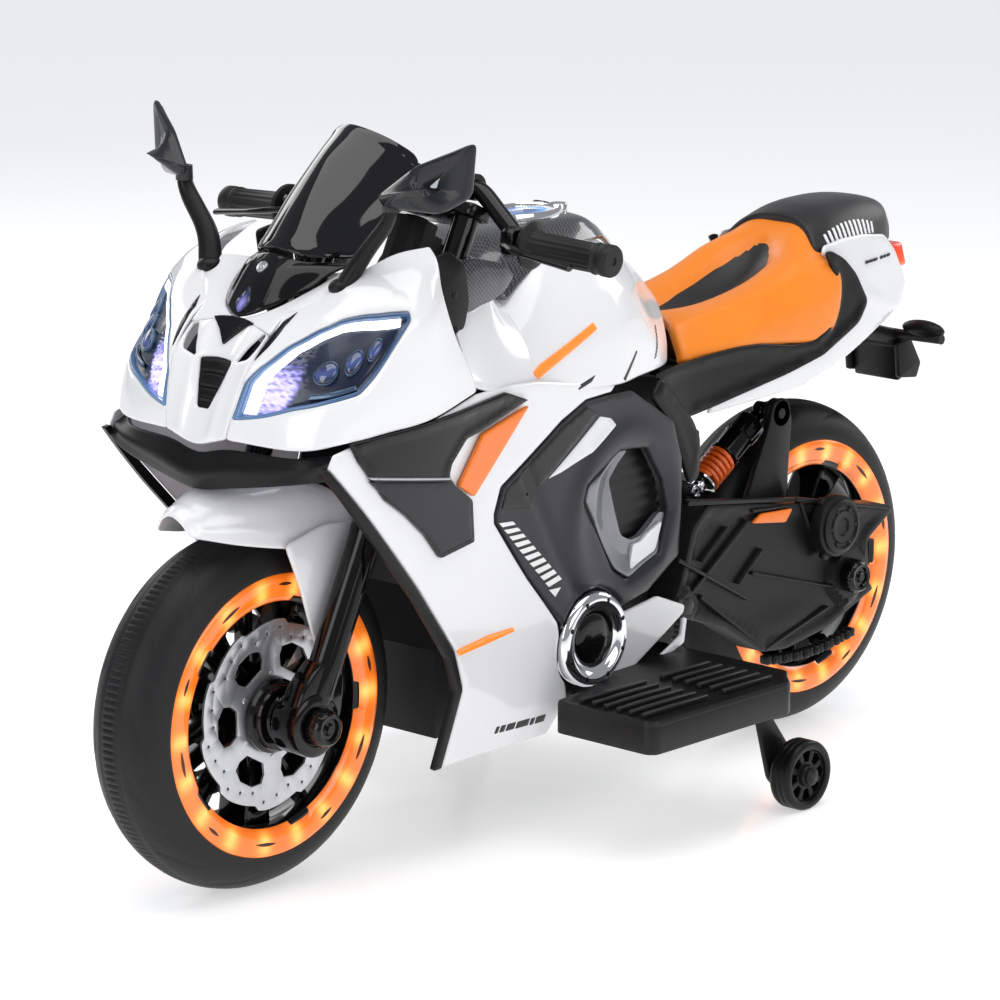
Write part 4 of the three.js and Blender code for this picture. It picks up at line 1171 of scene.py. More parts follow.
# ---- tank cover ---------------------------------------------------------------------
# A gloss white cover over the battery space, pinched towards the seat, with a moulded
# shoulder each side that meets the nose. Each flank has a light bar and printed film.
tank_rows = [across(r) for r in (
    [(134, 0, 560), (134, 45, 555), (134, 90, 530), (134, 120, 495), (134, 132, 463)],
    [(80, 0, 585), (80, 50, 580), (80, 95, 550), (80, 122, 505), (80, 130, 452)],
    [(0, 0, 592), (0, 50, 588), (0, 95, 555), (0, 120, 505), (0, 122, 443)],
    [(-60, 0, 578), (-60, 50, 566), (-58, 88, 530), (-54, 106, 490), (-50, 108, 443)],
    [(-105, 0, 556), (-104, 42, 543), (-100, 74, 505), (-96, 92, 470), (-94, 94, 443)],
    [(-150, 0, 522), (-148, 34, 508), (-140, 56, 490), (-128, 74, 466), (-120, 82, 443)])]
tank = Patch(tank_rows, (0, 0, 1))


def tank_edge(a, b, d):
    """A soft shoulder line along each flank."""
    p, _ = tank(a, b)
    return 1.0 * math.exp(-((p[2] - (536 + 0.1 * p[0])) / 7) ** 2) * min(1, d / 10)


build("tank_shell", panel(tank.whole(1), tank, thick=3, roll=3.0, step=7.5, corner=12, shape=tank_edge),
      gloss_white,
      "chassis", "tank_cover", smooth=60)
shoulder_rows = [
    [(128, 60, 552), (128, 92, 531), (128, 118, 500), (128, 131, 464)],
    [(165, 105, 551), (165, 112, 535), (165, 126, 503), (165, 139, 466)],
    [(200, 106, 545), (202, 118, 534), (204, 132, 506), (204, 145, 472)],
    [(228, 114, 536), (232, 124, 524), (238, 138, 506), (240, 149, 484)]]
shoulder = Patch(shoulder_rows, (0, 1, 0.6))
both("tank_shoulder", panel(shoulder.whole(), shoulder, thick=3, roll=2.0, step=5, corner=4), gloss_white,
     "chassis",
     smooth=60)
on_tank = drop(caster(tank_rows, 80, 80, 0.0))
tank_bar = both("tank_light_bar", panel([(132, 477), (126, 470), (33, 505), (37, 512), (122, 483)],
                                        on_tank, lift=1.5, thick=2.5, roll=1.0, step=3, corner=2), amber,
                "chassis",
                smooth=60)
paint_glow(tank_bar, lambda x, y, z: 0.55)
hatch = []
for k in range(9):
    x, z = -79 - k * 1.3, 456 + k * 3.4
    hatch.append(panel([(x, z), (x - 5, z + 2), (x - 5.6, z + 3.4), (x - 0.6, z + 1.4)], on_tank, lift=0.6,
                       thick=0.7,
                       roll=0.1, step=6, corner=0.2))
swoosh = panel([(91, 453), (60, 456), (39, 461), (46, 455), (74, 449), (95, 449)], on_tank, lift=0.5,
               thick=0.7,
               roll=0.15, step=5, corner=1)
tick = panel([(-9, 449), (-36, 473), (-38, 471), (-13, 446)], on_tank, lift=0.5, thick=0.7, roll=0.15,
             step=5, corner=1)
both("tank_film", merge(swoosh, tick, *hatch), film_black, "chassis", smooth=50)

# ---- seat --------------------------------------------------------------------------
# A one-piece moulded foam seat in smooth orange leatherette, high at the back, with
# a crisp bolster line. A black teardrop inlay is sewn into the dip at the back.
seat_rows = [across(r) for r in (
    [(-178, 0, 479), (-171, 28, 481), (-158, 55, 473), (-149, 76, 452), (-147, 83, 440)],
    [(-232, 0, 471), (-228, 36, 485), (-222, 62, 484), (-222, 81, 462), (-224, 86, 440)],
    [(-292, 0, 478), (-290, 40, 497), (-292, 67, 497), (-298, 84, 470), (-302, 86, 436)],
    [(-340, 0, 497), (-340, 43, 516), (-346, 70, 513), (-354, 86, 480), (-356, 87, 430)],
    [(-372, 0, 530), (-372, 38, 533), (-377, 62, 522), (-388, 84, 492), (-384, 86, 440)],
    [(-396, 0, 550), (-396, 36, 546), (-392, 59, 523), (-400, 80, 500), (-399, 84, 464)])]
seat = Patch(seat_rows, (0, 0, 1))


def leather(name, colour, rough, pebble=520.0, depth=0.00022):
    """Coated fabric: a pebbled grain from small cells, soft sheen and faint creases."""
    look = finish(name, colour, rough, coat=0.08, specular=0.35, vary=0.07, cloud=12, grain=1600,
                  depth=0.00004, sheen=0.12,
                  coat_rough=0.3)
    nodes, links = look.node_tree.nodes, look.node_tree.links
    shader = nodes["Principled BSDF"]
    where = next(n for n in nodes if n.type == "TEX_COORD")
    cells = nodes.new("ShaderNodeTexVoronoi")
    cells.feature = "DISTANCE_TO_EDGE"
    cells.inputs["Scale"].default_value = pebble
    links.new(where.outputs["Object"], cells.inputs["Vector"])
    swell = nodes.new("ShaderNodeMapRange")
    swell.inputs["From Max"].default_value = 0.3
    links.new(cells.outputs["Distance"], swell.inputs["Value"])
    first = next(n for n in nodes if n.type == "BUMP")
    bump = nodes.new("ShaderNodeBump")
    bump.inputs["Strength"].default_value = 0.35
    bump.inputs["Distance"].default_value = depth
    links.new(swell.outputs["Result"], bump.inputs["Height"])
    links.new(first.outputs["Normal"], bump.inputs["Normal"])
    links.new(bump.outputs["Normal"], shader.inputs["Normal"])
    return look


orange_leather = leather("orange_leather", (0.96, 0.25, 0.008), 0.38)
black_leather = leather("black_leather", (0.008, 0.008, 0.009), 0.4)
inlay_half = [(-190, 9, 480), (-222, 20, 476), (-262, 28, 484), (-302, 31, 494), (-334, 29, 506),
              (-354, 22, 518),
              (-368, 11, 528)]
inlay_line = [(-176, 0, 479)] + inlay_half + [(-372, 0, 531)] + [(x, -y, z) for x, y,
                                                                 z in reversed(inlay_half)]
inlay = dense(soften([seat.find(p) for p in inlay_line], 8), 3)


def seat_form(a, b, d):
    """The bolster crease, the dip for the inlay and a rounded hem."""
    side = abs(a / seat.width * 2 - 1)
    line = (side - (0.50 + 0.16 * (b / seat.height))) / 0.05
    crease = 1.9 * math.exp(-line ** 2) * min(1, d / 20)
    hem = -1.2 * math.exp(-((d - 7) / 1.6) ** 2)
    return crease + hem


seat_shape = panel(seat.whole(), seat, thick=12, roll=6, step=5, corner=12, shape=seat_form)
seat_points, seat_faces = seat_shape
to_inlay = np.array([seat.find(p) for p in seat_points])
near_inlay = distance(to_inlay, inlay) * np.where(inside(to_inlay, inlay), -1, 1)
seat_points = seat_points - np.outer(5.0 / (1 + np.exp(np.clip(near_inlay / 1.5, -30, 30))), (0, 0, 1))
seat_piece = build("seat_foam", (seat_points, seat_faces), orange_leather, "chassis",
                   "seat_cushion", smooth=60)
inlay_piece = build("seat_inlay", panel(shrink(inlay, 0.6), seat, lift=-2.6, thick=4, roll=1.6, step=3.5,
                                        corner=0.5),
                    black_leather, "chassis", smooth=60)

# ---- seat surround -------------------------------------------------------------------
# The black plastic pan under the seat. Its side wings rise behind the bolsters and
# run forward and down between the tank and the engine cover.
wing_rows = [
    [(-80, 96, 372), (-160, 88, 372), (-260, 86, 372), (-370, 84, 372), (-440, 81, 372), (-490, 71, 372)],
    [(-80, 98, 420), (-160, 89, 420), (-260, 87, 420), (-370, 86, 420), (-440, 82, 420), (-490, 71, 420)],
    [(-80, 96, 520), (-160, 87, 520), (-260, 86, 520), (-370, 82, 520), (-440, 75, 520), (-490, 64, 520)]]
on_wing = drop(caster(wing_rows, 40, 60, 0.03))
wing_outline = [(-84, 437), (-120, 441), (-179, 444), (-231, 445), (-265, 443), (-317, 434), (-352, 434),
                (-376, 446),
                (-388, 468), (-392, 490), (-381, 512), (-374, 522), (-384, 524), (-407, 513), (-429, 494),
                (-451, 461),
                (-431, 441), (-366, 416), (-307, 405), (-184, 388), (-146, 384)]


def wing_form(a, b, d):
    """A dished middle with a rolled lip along the top and a crease lower down."""
    return (-2.4 * min(1, max(0, (d - 5) / 7)) + 1.4 *
            math.exp(-((b - (396 - 0.16 * (a + 260))) / 5) ** 2)) * (
        1 if d > 0.5 else 0)


wing = panel(wing_outline, on_wing, lift=0.8, thick=4, roll=2.0, step=6, corner=7, shape=wing_form)
pan = slab([(-158, -82), (-158, 82), (-372, 82), (-372, -82)], 431, 437.6, axis="z", bevel=1.5, corner=10)
build("seat_surround", merge(wing, place(wing, mirror=True), pan), black_plastic, "chassis",
      "seat_base", smooth=50)
leg_outline = [(-90, 436), (-146, 383), (-158, 360), (-152, 322), (-136, 318), (-122, 350), (-104, 386),
               (-70, 420)]
both("frame_leg", panel(leg_outline, side_skin, lift=-2.0, thick=5, roll=2.2, step=6, corner=8,
                        shape=lambda a, b, d: 1.5 * math.exp(-((d - 8) / 4) ** 2)), black_plastic,
     "chassis",
     smooth=50)

# ---- tail ----------------------------------------------------------------------------
# Gloss white side covers that sweep up from under the seat to a blunt end. A soft
# black pad closes the top, with a row of white vent slats down each side of it.
tail_rows = [
    [(-180, 85, 360), (-320, 86, 360), (-440, 78, 360), (-520, 60, 360), (-580, 42, 360)],
    [(-180, 85, 450), (-320, 86, 450), (-440, 78, 450), (-520, 61, 450), (-580, 44, 450)],
    [(-180, 72, 540), (-320, 74, 540), (-440, 64, 540), (-520, 48, 540), (-580, 36, 540)]]
on_tail = drop(caster(tail_rows, 40, 60, 0.03))
tail_outline = [(-181, 381), (-186, 392), (-307, 411), (-366, 422), (-424, 448), (-440, 462), (-420, 492),
                (-402, 506),
                (-379, 520), (-384, 528), (-419, 531), (-461, 530), (-509, 523), (-529, 504), (-549, 466),
                (-535, 444),
                (-468, 426), (-410, 407), (-333, 388)]


def tail_form(a, b, d):
    """A crease that runs the length of the cover."""
    return 1.8 * math.exp(-((b - (470 + 0.34 * (a + 440))) / 6) ** 2) * min(1, d / 8)


both("tail_cover", panel(tail_outline, on_tail, thick=3.4, roll=2.4, step=6, corner=6,
                         shape=tail_form), gloss_white, "chassis", "tail_fairing",
     smooth=50)
pad_rows = [across(r) for r in (
    [(-388, 0, 554), (-388, 26, 551), (-384, 47, 541), (-376, 66, 521)],
    [(-426, 0, 563), (-426, 28, 560), (-421, 50, 547), (-412, 67, 523)],
    [(-485, 0, 564), (-484, 27, 561), (-478, 46, 548), (-466, 61, 523)],
    [(-534, 0, 555), (-532, 24, 552), (-522, 40, 541), (-506, 53, 518)],
    [(-552, 0, 541), (-549, 20, 537), (-540, 34, 528), (-524, 48, 512)])]
pad = Patch(pad_rows, (0, 0, 1))
tail_pad = build("tail_pad_cover", panel(pad.whole(), pad, thick=9, roll=4, step=6, corner=10,
                                         shape=lambda a, b, d: -0.9 * math.exp(-((d - 9) / 1.4) ** 2)),
                 black_leather, "chassis", "tail_pad", smooth=60)
slats = []
for k in range(12):
    x, high = -398 - k * 7.8, 541.5 - 0.004 * (k * 7.8 - 46) ** 2
    low_y, high_y = 65 - 0.12 * (-398 - x), 53 - 0.12 * (-398 - x)
    corners = [(x, low_y, 527), (x - 3.7, low_y - 0.4, 527), (x - 5.2, high_y - 0.6, high),
               (x - 1.5, high_y, high)]
    slats.append(panel([pad.find(p) for p in corners], pad, lift=0.5, thick=2, roll=0.5, step=4,
                       corner=0.8))
both("tail_vent_slats", merge(*slats), gloss_white, "chassis", smooth=50)
tail_marks = [panel([(x, 499), (x - w, 499), (x - w - 1, 502), (x - 1, 502)], on_tail, lift=1.6, thick=0.9,
                    roll=0.1,
                    step=5, corner=0.5) for x, w in ((-455, 8), (-465, 6), (-473, 8), (-489, 6), (-498, 5),
                                                     (-506, 6))]
both("tail_marks", merge(*tail_marks), film_black, "chassis")
tail_lens = lit("tail_lens", (0.85, 0.05, 0.01), (1.0, 0.25, 0.05), (0.1, 0.5))
lens_outline = [(-34, 479), (-27, 503), (27, 503), (34, 479), (22, 474), (-22, 474)]
lens_shape = slab(lens_outline, -573, -545, axis="x", bevel=2.5, corner=4)
ribs_shape = [slab([(-26 + k * 8.6, 480), (-24 + k * 8.6, 499), (-21 + k * 8.6, 499), (-22 + k * 8.6, 480)],
                   -574.6, -570, axis="x", bevel=0.8, corner=0.5) for k in range(6)]
tail_lamp = build("tail_lamp", merge(lens_shape, *ribs_shape), tail_lens, "chassis",
                  "tail_light")
paint_glow([tail_lamp], lambda x, y, z: 0.5 + 0.5 * math.cos(y * 0.36))


def swept(path, radius, sides=20, cap=True, squash_z=1.0):
    """A round bar along a path; radius is one number, or one for every point."""
    path = np.array(path, float)
    radii = np.broadcast_to(np.array(radius, float), (len(path),))
    way = np.gradient(path, axis=0)
    way /= np.linalg.norm(way, axis=1, keepdims=True) + 1e-9
    side = np.cross(way[0], (0, 0, 1) if abs(way[0][2]) < 0.9 else (1, 0, 0))
    rings = []
    for p, w, r in zip(path, way, radii):
        side = side - w * (side @ w)
        side /= np.linalg.norm(side)
        up = np.cross(w, side)
        rings.append([p + r * (math.cos(t) * side + squash_z * math.sin(t) * up)
                      for t in (2 * math.pi * k / sides for k in range(sides))])
    return lofted(rings, capped=cap)


def bulb(centre, sizes, steps=24):
    """A smooth egg with those half sizes."""
    rings = []
    for i in range(1, steps // 2):
        u = math.pi * i / (steps // 2)
        rings.append([(centre[0] + sizes[0] * math.sin(u) * math.cos(t), centre[1] + sizes[1] * math.cos(u),
                       centre[2] + sizes[2] * math.sin(u) * math.sin(t))
                      for t in (2 * math.pi * k / steps for k in range(steps))])
    return lofted(rings, capped=True)


# The plate holder below the tail: a bent arm, a stub plate and two leaf indicators.
holder = slab([(-487, 409), (-487, 428), (-520, 421), (-566, 408), (-575, 398), (-575, 352), (-566, 350),
               (-561, 390), (-520, 404)], -30, 30, bevel=2.2, corner=5)
fin = slab([(-560, 356), (-556, 394), (-577, 400), (-597, 368), (-590, 352)], 31, 38, bevel=1.5, corner=3)
beam = swept([(-562, -92, 405), (-562, -40, 404), (-562, 40, 404), (-562, 92, 405)], 5.5, 12)
leaf = bulb((-563, 66, 413), (9, 28, 10))
build("plate_holder", merge(holder, fin, place(fin, mirror=True), beam, leaf, place(leaf, mirror=True)),
      black_plastic, "chassis", "plate_bracket", smooth=50)

# ---- dash ---------------------------------------------------------------------------
# A carbon-look panel bridges the steering and the tank. An oval display in a plated
# rim sits on it, ahead of the start button and the forward-reverse switch.
def carbon(name):
    """Printed woven-fibre pattern under clear lacquer: a chequer of dark and grey rods."""
    look = finish(name, (0.03, 0.03, 0.033), 0.2, coat=0.9, vary=0.2, grain=900)
    nodes, links = look.node_tree.nodes, look.node_tree.links
    shader = nodes["Principled BSDF"]
    where = next(n for n in nodes if n.type == "TEX_COORD")
    weave = nodes.new("ShaderNodeTexChecker")
    weave.inputs["Scale"].default_value = 400
    weave.inputs["Color1"].default_value = (0.008, 0.008, 0.009, 1)
    weave.inputs["Color2"].default_value = (0.11, 0.11, 0.118, 1)
    links.new(where.outputs["Object"], weave.inputs["Vector"])
    strands = nodes.new("ShaderNodeTexWave")
    strands.inputs["Scale"].default_value = 260
    strands.inputs["Distortion"].default_value = 0.4
    links.new(where.outputs["Object"], strands.inputs["Vector"])
    blend = nodes.new("ShaderNodeMix")
    blend.data_type = "RGBA"
    blend.blend_type = "MULTIPLY"
    blend.inputs["Factor"].default_value = 0.6
    links.new(weave.outputs["Color"], blend.inputs["A"])
    links.new(strands.outputs["Color"], blend.inputs["B"])
    links.new(blend.outputs["Result"], shader.inputs["Base Color"])
    return look


carbon_print = carbon("carbon_print")
dash_rows = [across(r) for r in (
    [(140, 0, 589), (140, 34, 586), (138, 66, 572), (134, 92, 540)],
    [(100, 0, 599), (100, 36, 597), (98, 62, 584), (94, 84, 560)],
    [(40, 0, 602), (40, 36, 600), (40, 56, 590), (38, 70, 576)],
    [(-30, 0, 601), (-30, 34, 599), (-30, 48, 590), (-32, 58, 578)],
    [(-62, 0, 593), (-62, 28, 589), (-62, 38, 582), (-64, 44, 574)],
    [(-96, 0, 572), (-95, 20, 568), (-94, 28, 562), (-93, 32, 556)])]
dash = Patch(dash_rows, (0, 0, 1))
switch_hole = [(-56, -33), (-36, -33), (-36, -19), (-56, -19)]
build("dash_shell", panel(dash.whole(), dash, lift=0.4, thick=4, roll=2.5, step=5, corner=14,
                          hollow=[dash.from_above(circle(9.6, (-46, 0), 24)),
                                  dash.from_above(switch_hole)]),
      carbon_print, "chassis", "dash_panel", smooth=50)


DISPLAY_X = 6
DISPLAY_HALF = (44, 30)


def oval(*rings):
    """A lid of oval rings, each given by its size and height."""
    return lofted([[(DISPLAY_X + DISPLAY_HALF[0] * s * math.cos(t), DISPLAY_HALF[1] * s * math.sin(t), z)
                    for t in (math.pi * k / 36 for k in range(72))] for s, z in rings], capped=True)


build("display_rim", oval((1.06, 597), (1.06, 604), (1.03, 607), (0.97, 607.6), (0.92, 606), (0.9, 602)),
      chrome, "chassis", smooth=50)
display_blue = lit("display_blue", (0.01, 0.05, 0.25), (0.12, 0.42, 1.0), (0.1, 1.3), rough=0.08, coat=1.0)
face = build("display_face", oval((0.9, 603.6), (0.7, 604.2), (0.5, 604.6), (0.3, 604.8), (0.02, 604.9)),
             display_blue, "chassis", smooth=60)
paint_glow([face], lambda x, y,
           z: 0.9 if abs(math.hypot((x - DISPLAY_X) / DISPLAY_HALF[0], y / DISPLAY_HALF[1]) - 0.55) < 0.2
           else 0.25)
ticks = []
for k in range(21):
    t = math.pi * (0.12 + 0.76 * k / 20)
    p = [(DISPLAY_X + DISPLAY_HALF[0] * s * math.cos(t + 1.57), DISPLAY_HALF[1] * s * math.sin(t + 1.57))
         for s in (0.62, 0.82)]
    ticks.append(swept([(p[0][0], p[0][1], 605), (p[1][0], p[1][1], 604.7)], 0.55, 6))
needle = swept([(6, 0, 605.4), (22, -12, 605.2)], (1.2, 0.4), 6)
build("display_marks", merge(*ticks, needle), film_white, "chassis", smooth=60)
UPRIGHT = Matrix.Rotation(math.radians(90), 4, "X")
button = turned([(0.05, 0), (5.2, -0.8), (6.4, -0.3), (8.2, -0.4), (8.9, -1.4), (8.9, -9.6), (0.05, -9.6)],
                48)
build("start_knob", place(button, (-46, 0, 607), turn=UPRIGHT), chrome,
      "start_button", "start_button", smooth=40)
rocker = slab([(-8.5, -1.5), (-9, 3), (0, 5.3), (9, 3), (8.5, -1.5), (0, -4)], -5.9, 5.9, bevel=0.8,
              corner=0.8)
build("rocker_switch", place(rocker, (-46, -26, 601)), gloss_black, "direction_switch",
      "direction_switch")

# ---- steering gap covers ----------------------------------------------------------------
# Between the nose and the tank a matt black side plate, held by two screws, and a
# carbon-look infill close the gap that the handlebar turns in.
side_plate = slab([(262, 604), (255, 560), (247, 519), (234, 514), (217, 534), (211, 556), (216, 592),
                   (238, 608)],
                  114, 119, bevel=1.2, corner=6)
screw_dots = [turned([(0.05, 1.6), (2.4, 1.4), (3.4, 0.4), (3.4, -1)], 16, centre=(x, 119, z))
              for x, z in ((232, 566), (230, 532))]
both("steering_side_plate", merge(side_plate, *screw_dots), black_plastic, "chassis",
     smooth=45)
infill = slab([(224, 596), (214, 548), (196, 540), (150, 556), (136, 570), (150, 584), (190, 594)], 104,
              108,
              bevel=1.2, corner=6)
both("steering_infill", infill, carbon_print, "chassis")

# ---- handlebar -----------------------------------------------------------------------
# One bent tube in gloss black, clamped to the top yoke by a split block. The grips
# are ribbed rubber with a thumb flange; the right one is the throttle.
SWEEP_BACK = 9 / 106
DROOP = 6 / 106


def bar_at(s, y):
    """The middle of the bar's straight end at y; s is 1 on the left and -1 on the right."""
    return (172 - SWEEP_BACK * (y - 150), s * y, 611 - DROOP * (y - 150))


def rounded_path(path, r=14, steps=5):
    """A path with its inner corners rounded."""
    path = [np.array(p, float) for p in path]
    result = [path[0]]
    for a, p, b in zip(path, path[1:], path[2:]):
        s = p + (a - p) / np.linalg.norm(a - p) * min(r, np.linalg.norm(a - p) * 0.45)
        e = p + (b - p) / np.linalg.norm(b - p) * min(r, np.linalg.norm(b - p) * 0.45)
        result += [s * (1 - t) ** 2 + 2 * p * t * (1 - t) + e * t * t
                   for t in (k / steps for k in range(steps + 1))]
    return result + [path[-1]]


LEAN = math.radians(26)


def leaned(points):
    """Points given as (across the fork, out, up the fork) leaned back from the front axle."""
    return [(FRONT_AXLE[0] + u * math.cos(LEAN) - w * math.sin(LEAN), y,
             AXLE_HEIGHT + u * math.sin(LEAN) + w * math.cos(LEAN)) for u, y, w in points]


def leaned_shape(shape):
    return np.array(leaned(np.array(shape[0]))), shape[1]


bar_path = rounded_path([bar_at(-1, 256), (172, -150, 611), (168, -92, 657), (166, 0, 657), (168, 92, 657),
                         (172, 150, 611), bar_at(1, 256)])
bar_tube = swept(bar_path, 8.9, 20)
yoke_line = [(-44, -34), (-14, -104), (16, -104), (20, -70), (8, -30), (8, 30), (20, 70), (16, 104),
             (-14, 104), (-44, 34)]
fork_holes = [circle(13.4, (0, s * 85)) for s in (1, -1)]
top_yoke = leaned_shape(slab(yoke_line, 505, 517, axis="z", bevel=2.2, corner=7, hollow=fork_holes))
clamp = leaned_shape(merge(box_shape(-26, 26, -30, -8, 516, 545, 2.5),
                           box_shape(-26, 26, 8, 30, 516, 545, 2.5)))
clamp_bolts = leaned_shape(merge(*[place(turned([(0.05, 0), (3.6, 0), (4.2, -0.8), (4.2, -5)], 6),
                                         (u, y, 546.4), turn=UPRIGHT)
                                   for u in (-17, 17) for y in (-19, 19)]))
collars = []
for s in (1, -1):
    collars.append(swept([(167.4, s * 74, 657), (167.8, s * 88, 657)], 13, 24))
    collars.append(swept([bar_at(s, 136), bar_at(s, 157)], (16, 15), 24))
    collars.append(box_shape(150, 190, s * 146 - 9, s * 146 + 9, 600, 626, 4))
    lever = swept(rounded_path([(190, s * 146, 613), (206, s * 176, 609), (200, s * 236, 601)]),
                  (6, 5.6, 5.4, 5, 4.8, 4.6, 4.4, 5.4), 12,
                  squash_z=0.6)
    collars.append(lever)
build("handlebar_assembly", merge(bar_tube, top_yoke, clamp, clamp_bolts, *collars), gloss_black,
      "steering",
      "handlebar", smooth=40)
grip_rubber = finish("grip_rubber", (0.009, 0.009, 0.0095), 0.5, specular=0.3, vary=0.25, grain=1800,
                     depth=0.00012)


def grip_shape(s):
    """A grip with long ribs, a thumb flange and a domed end."""
    start, end = np.array(bar_at(s, 160)), np.array(bar_at(s, 258.5))
    way = (end - start) / np.linalg.norm(end - start)
    side = np.cross(way, (0, 0, 1))
    side /= np.linalg.norm(side)
    up = np.cross(side, way)
    profile = [(22, 0), (23, 1.2), (23, 4), (21, 5.6), (16, 8), (14.3, 12), (14.2, 76), (15, 78),
               (15.4, 80), (14.2, 82),
               (14.4, 86), (15.6, 88), (15.6, 96), (14.4, 98.2), (4, 98.6), (3.4, 97.2), (0.05, 97.2)]
    rings = []
    for r, t in profile:
        ring = []
        for k in range(96):
            a = 2 * math.pi * k / 96
            rr = r - (0.9 if 11 < t < 77 and math.cos(a * 16) < -0.2 else 0)
            ring.append(start + way * t + rr * (math.cos(a) * side + math.sin(a) * up))
        rings.append(ring)
    return lofted(rings, capped=True)


build("grip_rubber_left", grip_shape(1), grip_rubber, "steering", "grip_left", smooth=40)
build("throttle_rubber", grip_shape(-1), grip_rubber, "throttle", "throttle_grip", smooth=40)

# ---- mirrors -------------------------------------------------------------------------
# Kite-shaped mirrors on bent stalks that rise from the nose. The shells are two-tone
# black with a folded edge, and the glass is a plated plastic sheet set in a frame.
stalk_path = rounded_path([(352, 87, 580), (339, 101, 612), (336, 138, 654), (336, 138, 675)], r=18)
stalk_radius = np.interp(np.linspace(0, 1, len(stalk_path)), (0, 0.25, 0.55, 0.9, 1),
                         (11.5, 10.5, 9.0, 7.2, 4))
foot_pad = bulb((351, 88, 585), (14, 12, 9))
both("mirror_arm", merge(swept(stalk_path, stalk_radius, 20, squash_z=0.8), foot_pad), black_plastic,
     "chassis",
     "mirror_stalk", smooth=50)
kite = [(344, 128, 674), (328, 162, 704), (304, 213, 728), (307, 209, 677), (318, 183, 660),
        (340, 134, 663)]
kite_mid = np.mean(kite, axis=0)


def kite_ring(scale, dx):
    """The kite's outline, softened, at a size and set back or forward."""
    ring = []
    for y, z in soften([(y, z) for _, y, z in kite], 7, 5):
        x = np.interp(y, (128, 162, 183, 213), (344, 328, 318, 304))
        ring.append((x + dx, kite_mid[1] + (y - kite_mid[1]) * scale,
                     kite_mid[2] + (z - kite_mid[2]) * scale))
    return ring


shell_rings = [kite_ring(0.9, -3.4), kite_ring(0.97, -3.9), kite_ring(1.0, -2.2), kite_ring(1.0, 0.6),
               kite_ring(0.95, 3.4), kite_ring(0.8, 6.6), kite_ring(0.5, 9.6), kite_ring(0.3, 11.5),
               kite_ring(0.02, 12)]
hinge = swept([(336, 138, 660), (336, 138, 674)], (8.6, 8.2), 20)
facet = finish("mirror_shell", (0.012, 0.0125, 0.014), 0.26, coat=0.15, specular=0.3, vary=0.25, grain=900,
               pale_edges=0.3)
mirror_glass = finish("mirror_glass", (0.55, 0.58, 0.62), 0.04, metal=1.0, vary=0.05, cloud=8, grain=100,
                      depth=0.000005, rough_vary=0.02)
for side, word in SIDES:
    build(f"mirror_shell_{word}", place(merge(lofted(shell_rings, capped=True), hinge), mirror=side < 0),
          facet,
          f"mirror_{word}", f"mirror_head_{word}", smooth=24)
    build(f"mirror_glass_{word}", place(lofted([kite_ring(0.88, -4.6), kite_ring(0.89, -3.0)], capped=True),
                                        mirror=side < 0), mirror_glass, f"mirror_{word}",
          smooth=40)

# ---- swingarm ------------------------------------------------------------------------
# A deep black moulding each side of the rear wheel with raised V-shaped ribs, an
# orange reflector and a mock chain above and below. It pivots in the frame.
PIVOT_AT = (-136, 190)
SHOCK_EYE = (-321, 0, 358)
arm_black = finish("arm_black", (0.006, 0.006, 0.0065), 0.38, specular=0.25, vary=0.25, grain=900,
                   depth=0.0001, pale_edges=0.35)
arm_outline = [(-118, 198), (-128, 214), (-146, 268), (-170, 290), (-240, 280), (-330, 264), (-474, 238),
               (-476, 230),
               (-436, 206), (-440, 160), (-448, 150), (-370, 122), (-300, 112), (-262, 116), (-200, 154),
               (-150, 172),
               (-124, 180)]
ARM_FACE = 95
on_arm = drop(caster([[(x, ARM_FACE, z) for x in (-500, -300, -100)] for z in (80, 200, 320)], 4, 4, 0.2))


def arm_form(a, b, d):
    """Low relief: a sunken web between the top rail, the lower edge and the axle end."""
    web = 3.0 * min(1, max(0, (d - 9) / 4))
    boss = 4.5 * (math.hypot(a + 400, b - 175) < 30) + 3.5 * (math.hypot(a - PIVOT_AT[0],
                                                                         b - PIVOT_AT[1]) < 17)
    belly = 3.4 * math.exp(-(((a + 300) / 60) ** 2 + ((b - 140) / 20) ** 2))
    return boss + belly - (0 if boss else web)


arm_plate = panel(arm_outline, on_arm, lift=0, thick=33, roll=2.6, step=5.5, corner=6,
                  hollow=[circle(7.4, PIVOT_AT), circle(8.4, (-400, 175))],
                  shape=arm_form)
ribs = []
for p, q, wide in (((-234, 262), (-140, 199), 5), ((-122, 241), (-236, 178), 5),
                   ((-257, 228), (-219, 198), 4),
                   ((-240, 206), (-380, 165), 4), ((-158, 196), (-264, 120), 5),
                   ((-136, 298), (-311, 272), 6),
                   ((-311, 272), (-472, 235), 5), ((-239, 272), (-314, 266), 4),
                   ((-264, 119), (-368, 146), 4),
                   ((-318, 268), (-346, 214), 4), ((-160, 232), (-200, 262), 3),
                   ((-346, 214), (-372, 205), 4)):
    p, q = np.array(p, float), np.array(q, float)
    way = (q - p) / np.linalg.norm(q - p)
    off = np.array((-way[1], way[0])) * wide / 2
    ribs.append(slab([tuple(p - off), tuple(q - off * 0.6), tuple(q + off * 0.6), tuple(p + off)], 90, 98.0,
                     bevel=1.3, corner=1.2))
arm_tower = slab([(-262, 268), (-300, 345), (-308, 372), (-330, 374), (-338, 350), (-330, 262)], 61, 68,
                 bevel=1.5,
                 corner=7)
eye = turned([(5.4, 54), (13.5, 54), (15, 55.5), (15, 66.5), (13.5, 68), (5.4, 68)], 40, centre=SHOCK_EYE,
             closed=True)
bridge = slab([(-180, 162), (-180, 250), (-212, 250), (-218, 200), (-212, 162)], -70, 70, bevel=3, corner=8)
arm_full = merge(arm_plate, *ribs)
build("swingarm_moulding", merge(arm_full, place(arm_full, mirror=True), arm_tower, eye, bridge), arm_black,
      "swingarm", "swingarm", smooth=42)
